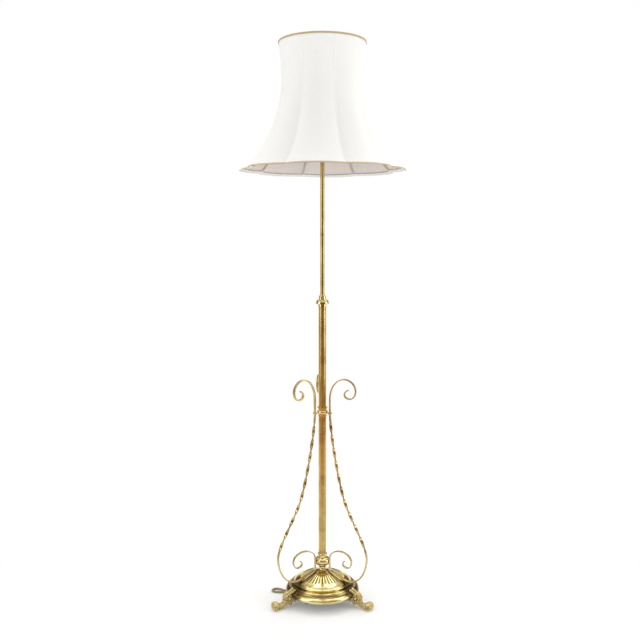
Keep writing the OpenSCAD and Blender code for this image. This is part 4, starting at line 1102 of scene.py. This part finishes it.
def make_floor():
    """Pale floor that keeps the lamp's shadow and goes over into plain white.

    Metal sees warm boards in the part of it that lies ahead of the lamp.
    """
    material, tree = start_finish("floor_pale")
    place = add(tree, "TexCoord").outputs["Object"]
    away = add(tree, "VectorMath", {0: place}, operation="LENGTH").outputs["Value"]
    ahead = add(tree, "SeparateXYZ", {0: place}).outputs["Y"]
    far = blend(tree, away, 0.0, 1.0, *FLOOR_FADES, "SMOOTHSTEP")
    front = blend(tree, ahead, 0.0, 1.0, *BOARDS_FROM, "SMOOTHSTEP")
    share = add(tree, "Math", {0: far, 1: seen_rays(tree)}, operation="MULTIPLY").outputs[0]
    glossy = add(tree, "LightPath").outputs["Is Glossy Ray"]
    boards = add(tree, "Math", {0: front, 1: glossy}, operation="MULTIPLY").outputs[0]
    tone = blend(tree, boards, linear(WHITE), linear(BOARD_TONE))
    matt = add(tree, "BsdfDiffuse", {"Color": linear(FLOOR_TONE)})
    lift = add(tree, "Emission", {"Color": linear(WHITE), "Strength": SHADOW_LIFT})
    near = add(tree, "AddShader", {0: matt.outputs[0], 1: lift.outputs[0]})
    white = add(tree, "Emission", {"Color": tone, "Strength": 1.0})
    end_finish(tree, add(tree, "MixShader", {0: share, 1: near.outputs[0], 2: white.outputs[0]}))
    turn = np.linspace(0, 2 * math.pi, FLOOR_SIDES, endpoint=False)
    level = np.full(FLOOR_SIDES, FLOOR_Z)
    rim = np.stack([FLOOR_R * np.cos(turn), FLOOR_R * np.sin(turn), level], 1)
    mesh = bpy.data.meshes.new("floor")
    mesh.from_pydata(rim.tolist(), [], [list(range(FLOOR_SIDES))])
    mesh.materials.append(material)
    floor = bpy.data.objects.new("floor", mesh)
    bpy.context.scene.collection.objects.link(floor)


def make_world():
    """White all round for the camera. Metal sees it behind the lamp and overhead, and
    a dim warm room to the sides, in front and over the backdrop. All else is lit
    by an even, softer white.
    """
    world = bpy.data.worlds.new("studio")
    world.use_nodes = True
    tree = world.node_tree
    tree.nodes.clear()
    way = add(tree, "SeparateXYZ", {0: add(tree, "TexCoord").outputs["Generated"]}).outputs
    ahead = add(tree, "Math", {0: way["Y"]}, operation="ABSOLUTE").outputs[0]
    front = blend(tree, ahead, 0.0, 1.0, *ENDS_FROM, "SMOOTHSTEP")
    behind = blend(tree, way["Y"], 0.0, 1.0, *BACKDROP_FROM, "SMOOTHSTEP")
    below = blend(tree, way["Z"], 0.0, 1.0, *BACKDROP_UNDER, "SMOOTHSTEP")
    ceiling = blend(tree, way["Z"], 0.0, 1.0, *CEILING_FROM, "SMOOTHSTEP")
    backdrop = add(tree, "Math", {0: behind, 1: below}, operation="MULTIPLY").outputs[0]
    pale = add(tree, "Math", {0: backdrop, 1: ceiling}, operation="MAXIMUM").outputs[0]
    room = blend(tree, front, linear(SIDE_TONE), linear(END_TONE))
    room = blend(tree, pale, room, linear(WHITE))
    glossy = add(tree, "LightPath").outputs["Is Glossy Ray"]
    tone = blend(tree, glossy, linear(WHITE), room)
    seen = add(tree, "Background", {"Color": tone, "Strength": 1.0})
    soft = add(tree, "Background", {"Color": linear(WHITE), "Strength": SOFT_WHITE})
    mix = add(tree, "MixShader", {0: seen_rays(tree), 1: soft.outputs[0], 2: seen.outputs[0]})
    add(tree, "OutputWorld", {"Surface": mix.outputs[0]})
    bpy.context.scene.world = world


def make_light(name, place, aim, size, power):
    """Soft rectangular light of a power in watts at a place, turned to its aim."""
    data = bpy.data.lights.new(name, "AREA")
    data.shape = "RECTANGLE"
    data.size, data.size_y = size
    data.energy = power
    light = bpy.data.objects.new(name, data)
    bpy.context.scene.collection.objects.link(light)
    ahead = np.asarray(aim, float) - np.asarray(place, float)
    flat = math.hypot(ahead[0], ahead[1])
    light.location = place
    light.rotation_euler = (math.atan2(flat, -ahead[2]), 0.0, math.atan2(-ahead[0], ahead[1]))


make_floor()
make_world()
make_light("key", place=(2.7, -0.8, 1.5), aim=(0, 0, 0.9), size=(1.6, 2.4), power=27)
make_light("fill", place=(-2.4, -1.6, 1.6), aim=(0, 0, 0.9), size=(1.7, 2.2), power=22)
make_light("top", place=(0.2, 0.9, 3.5), aim=(0, 0, 0.4), size=(2.2, 2.2), power=40)

bpy.context.scene.view_settings.view_transform = "Standard"
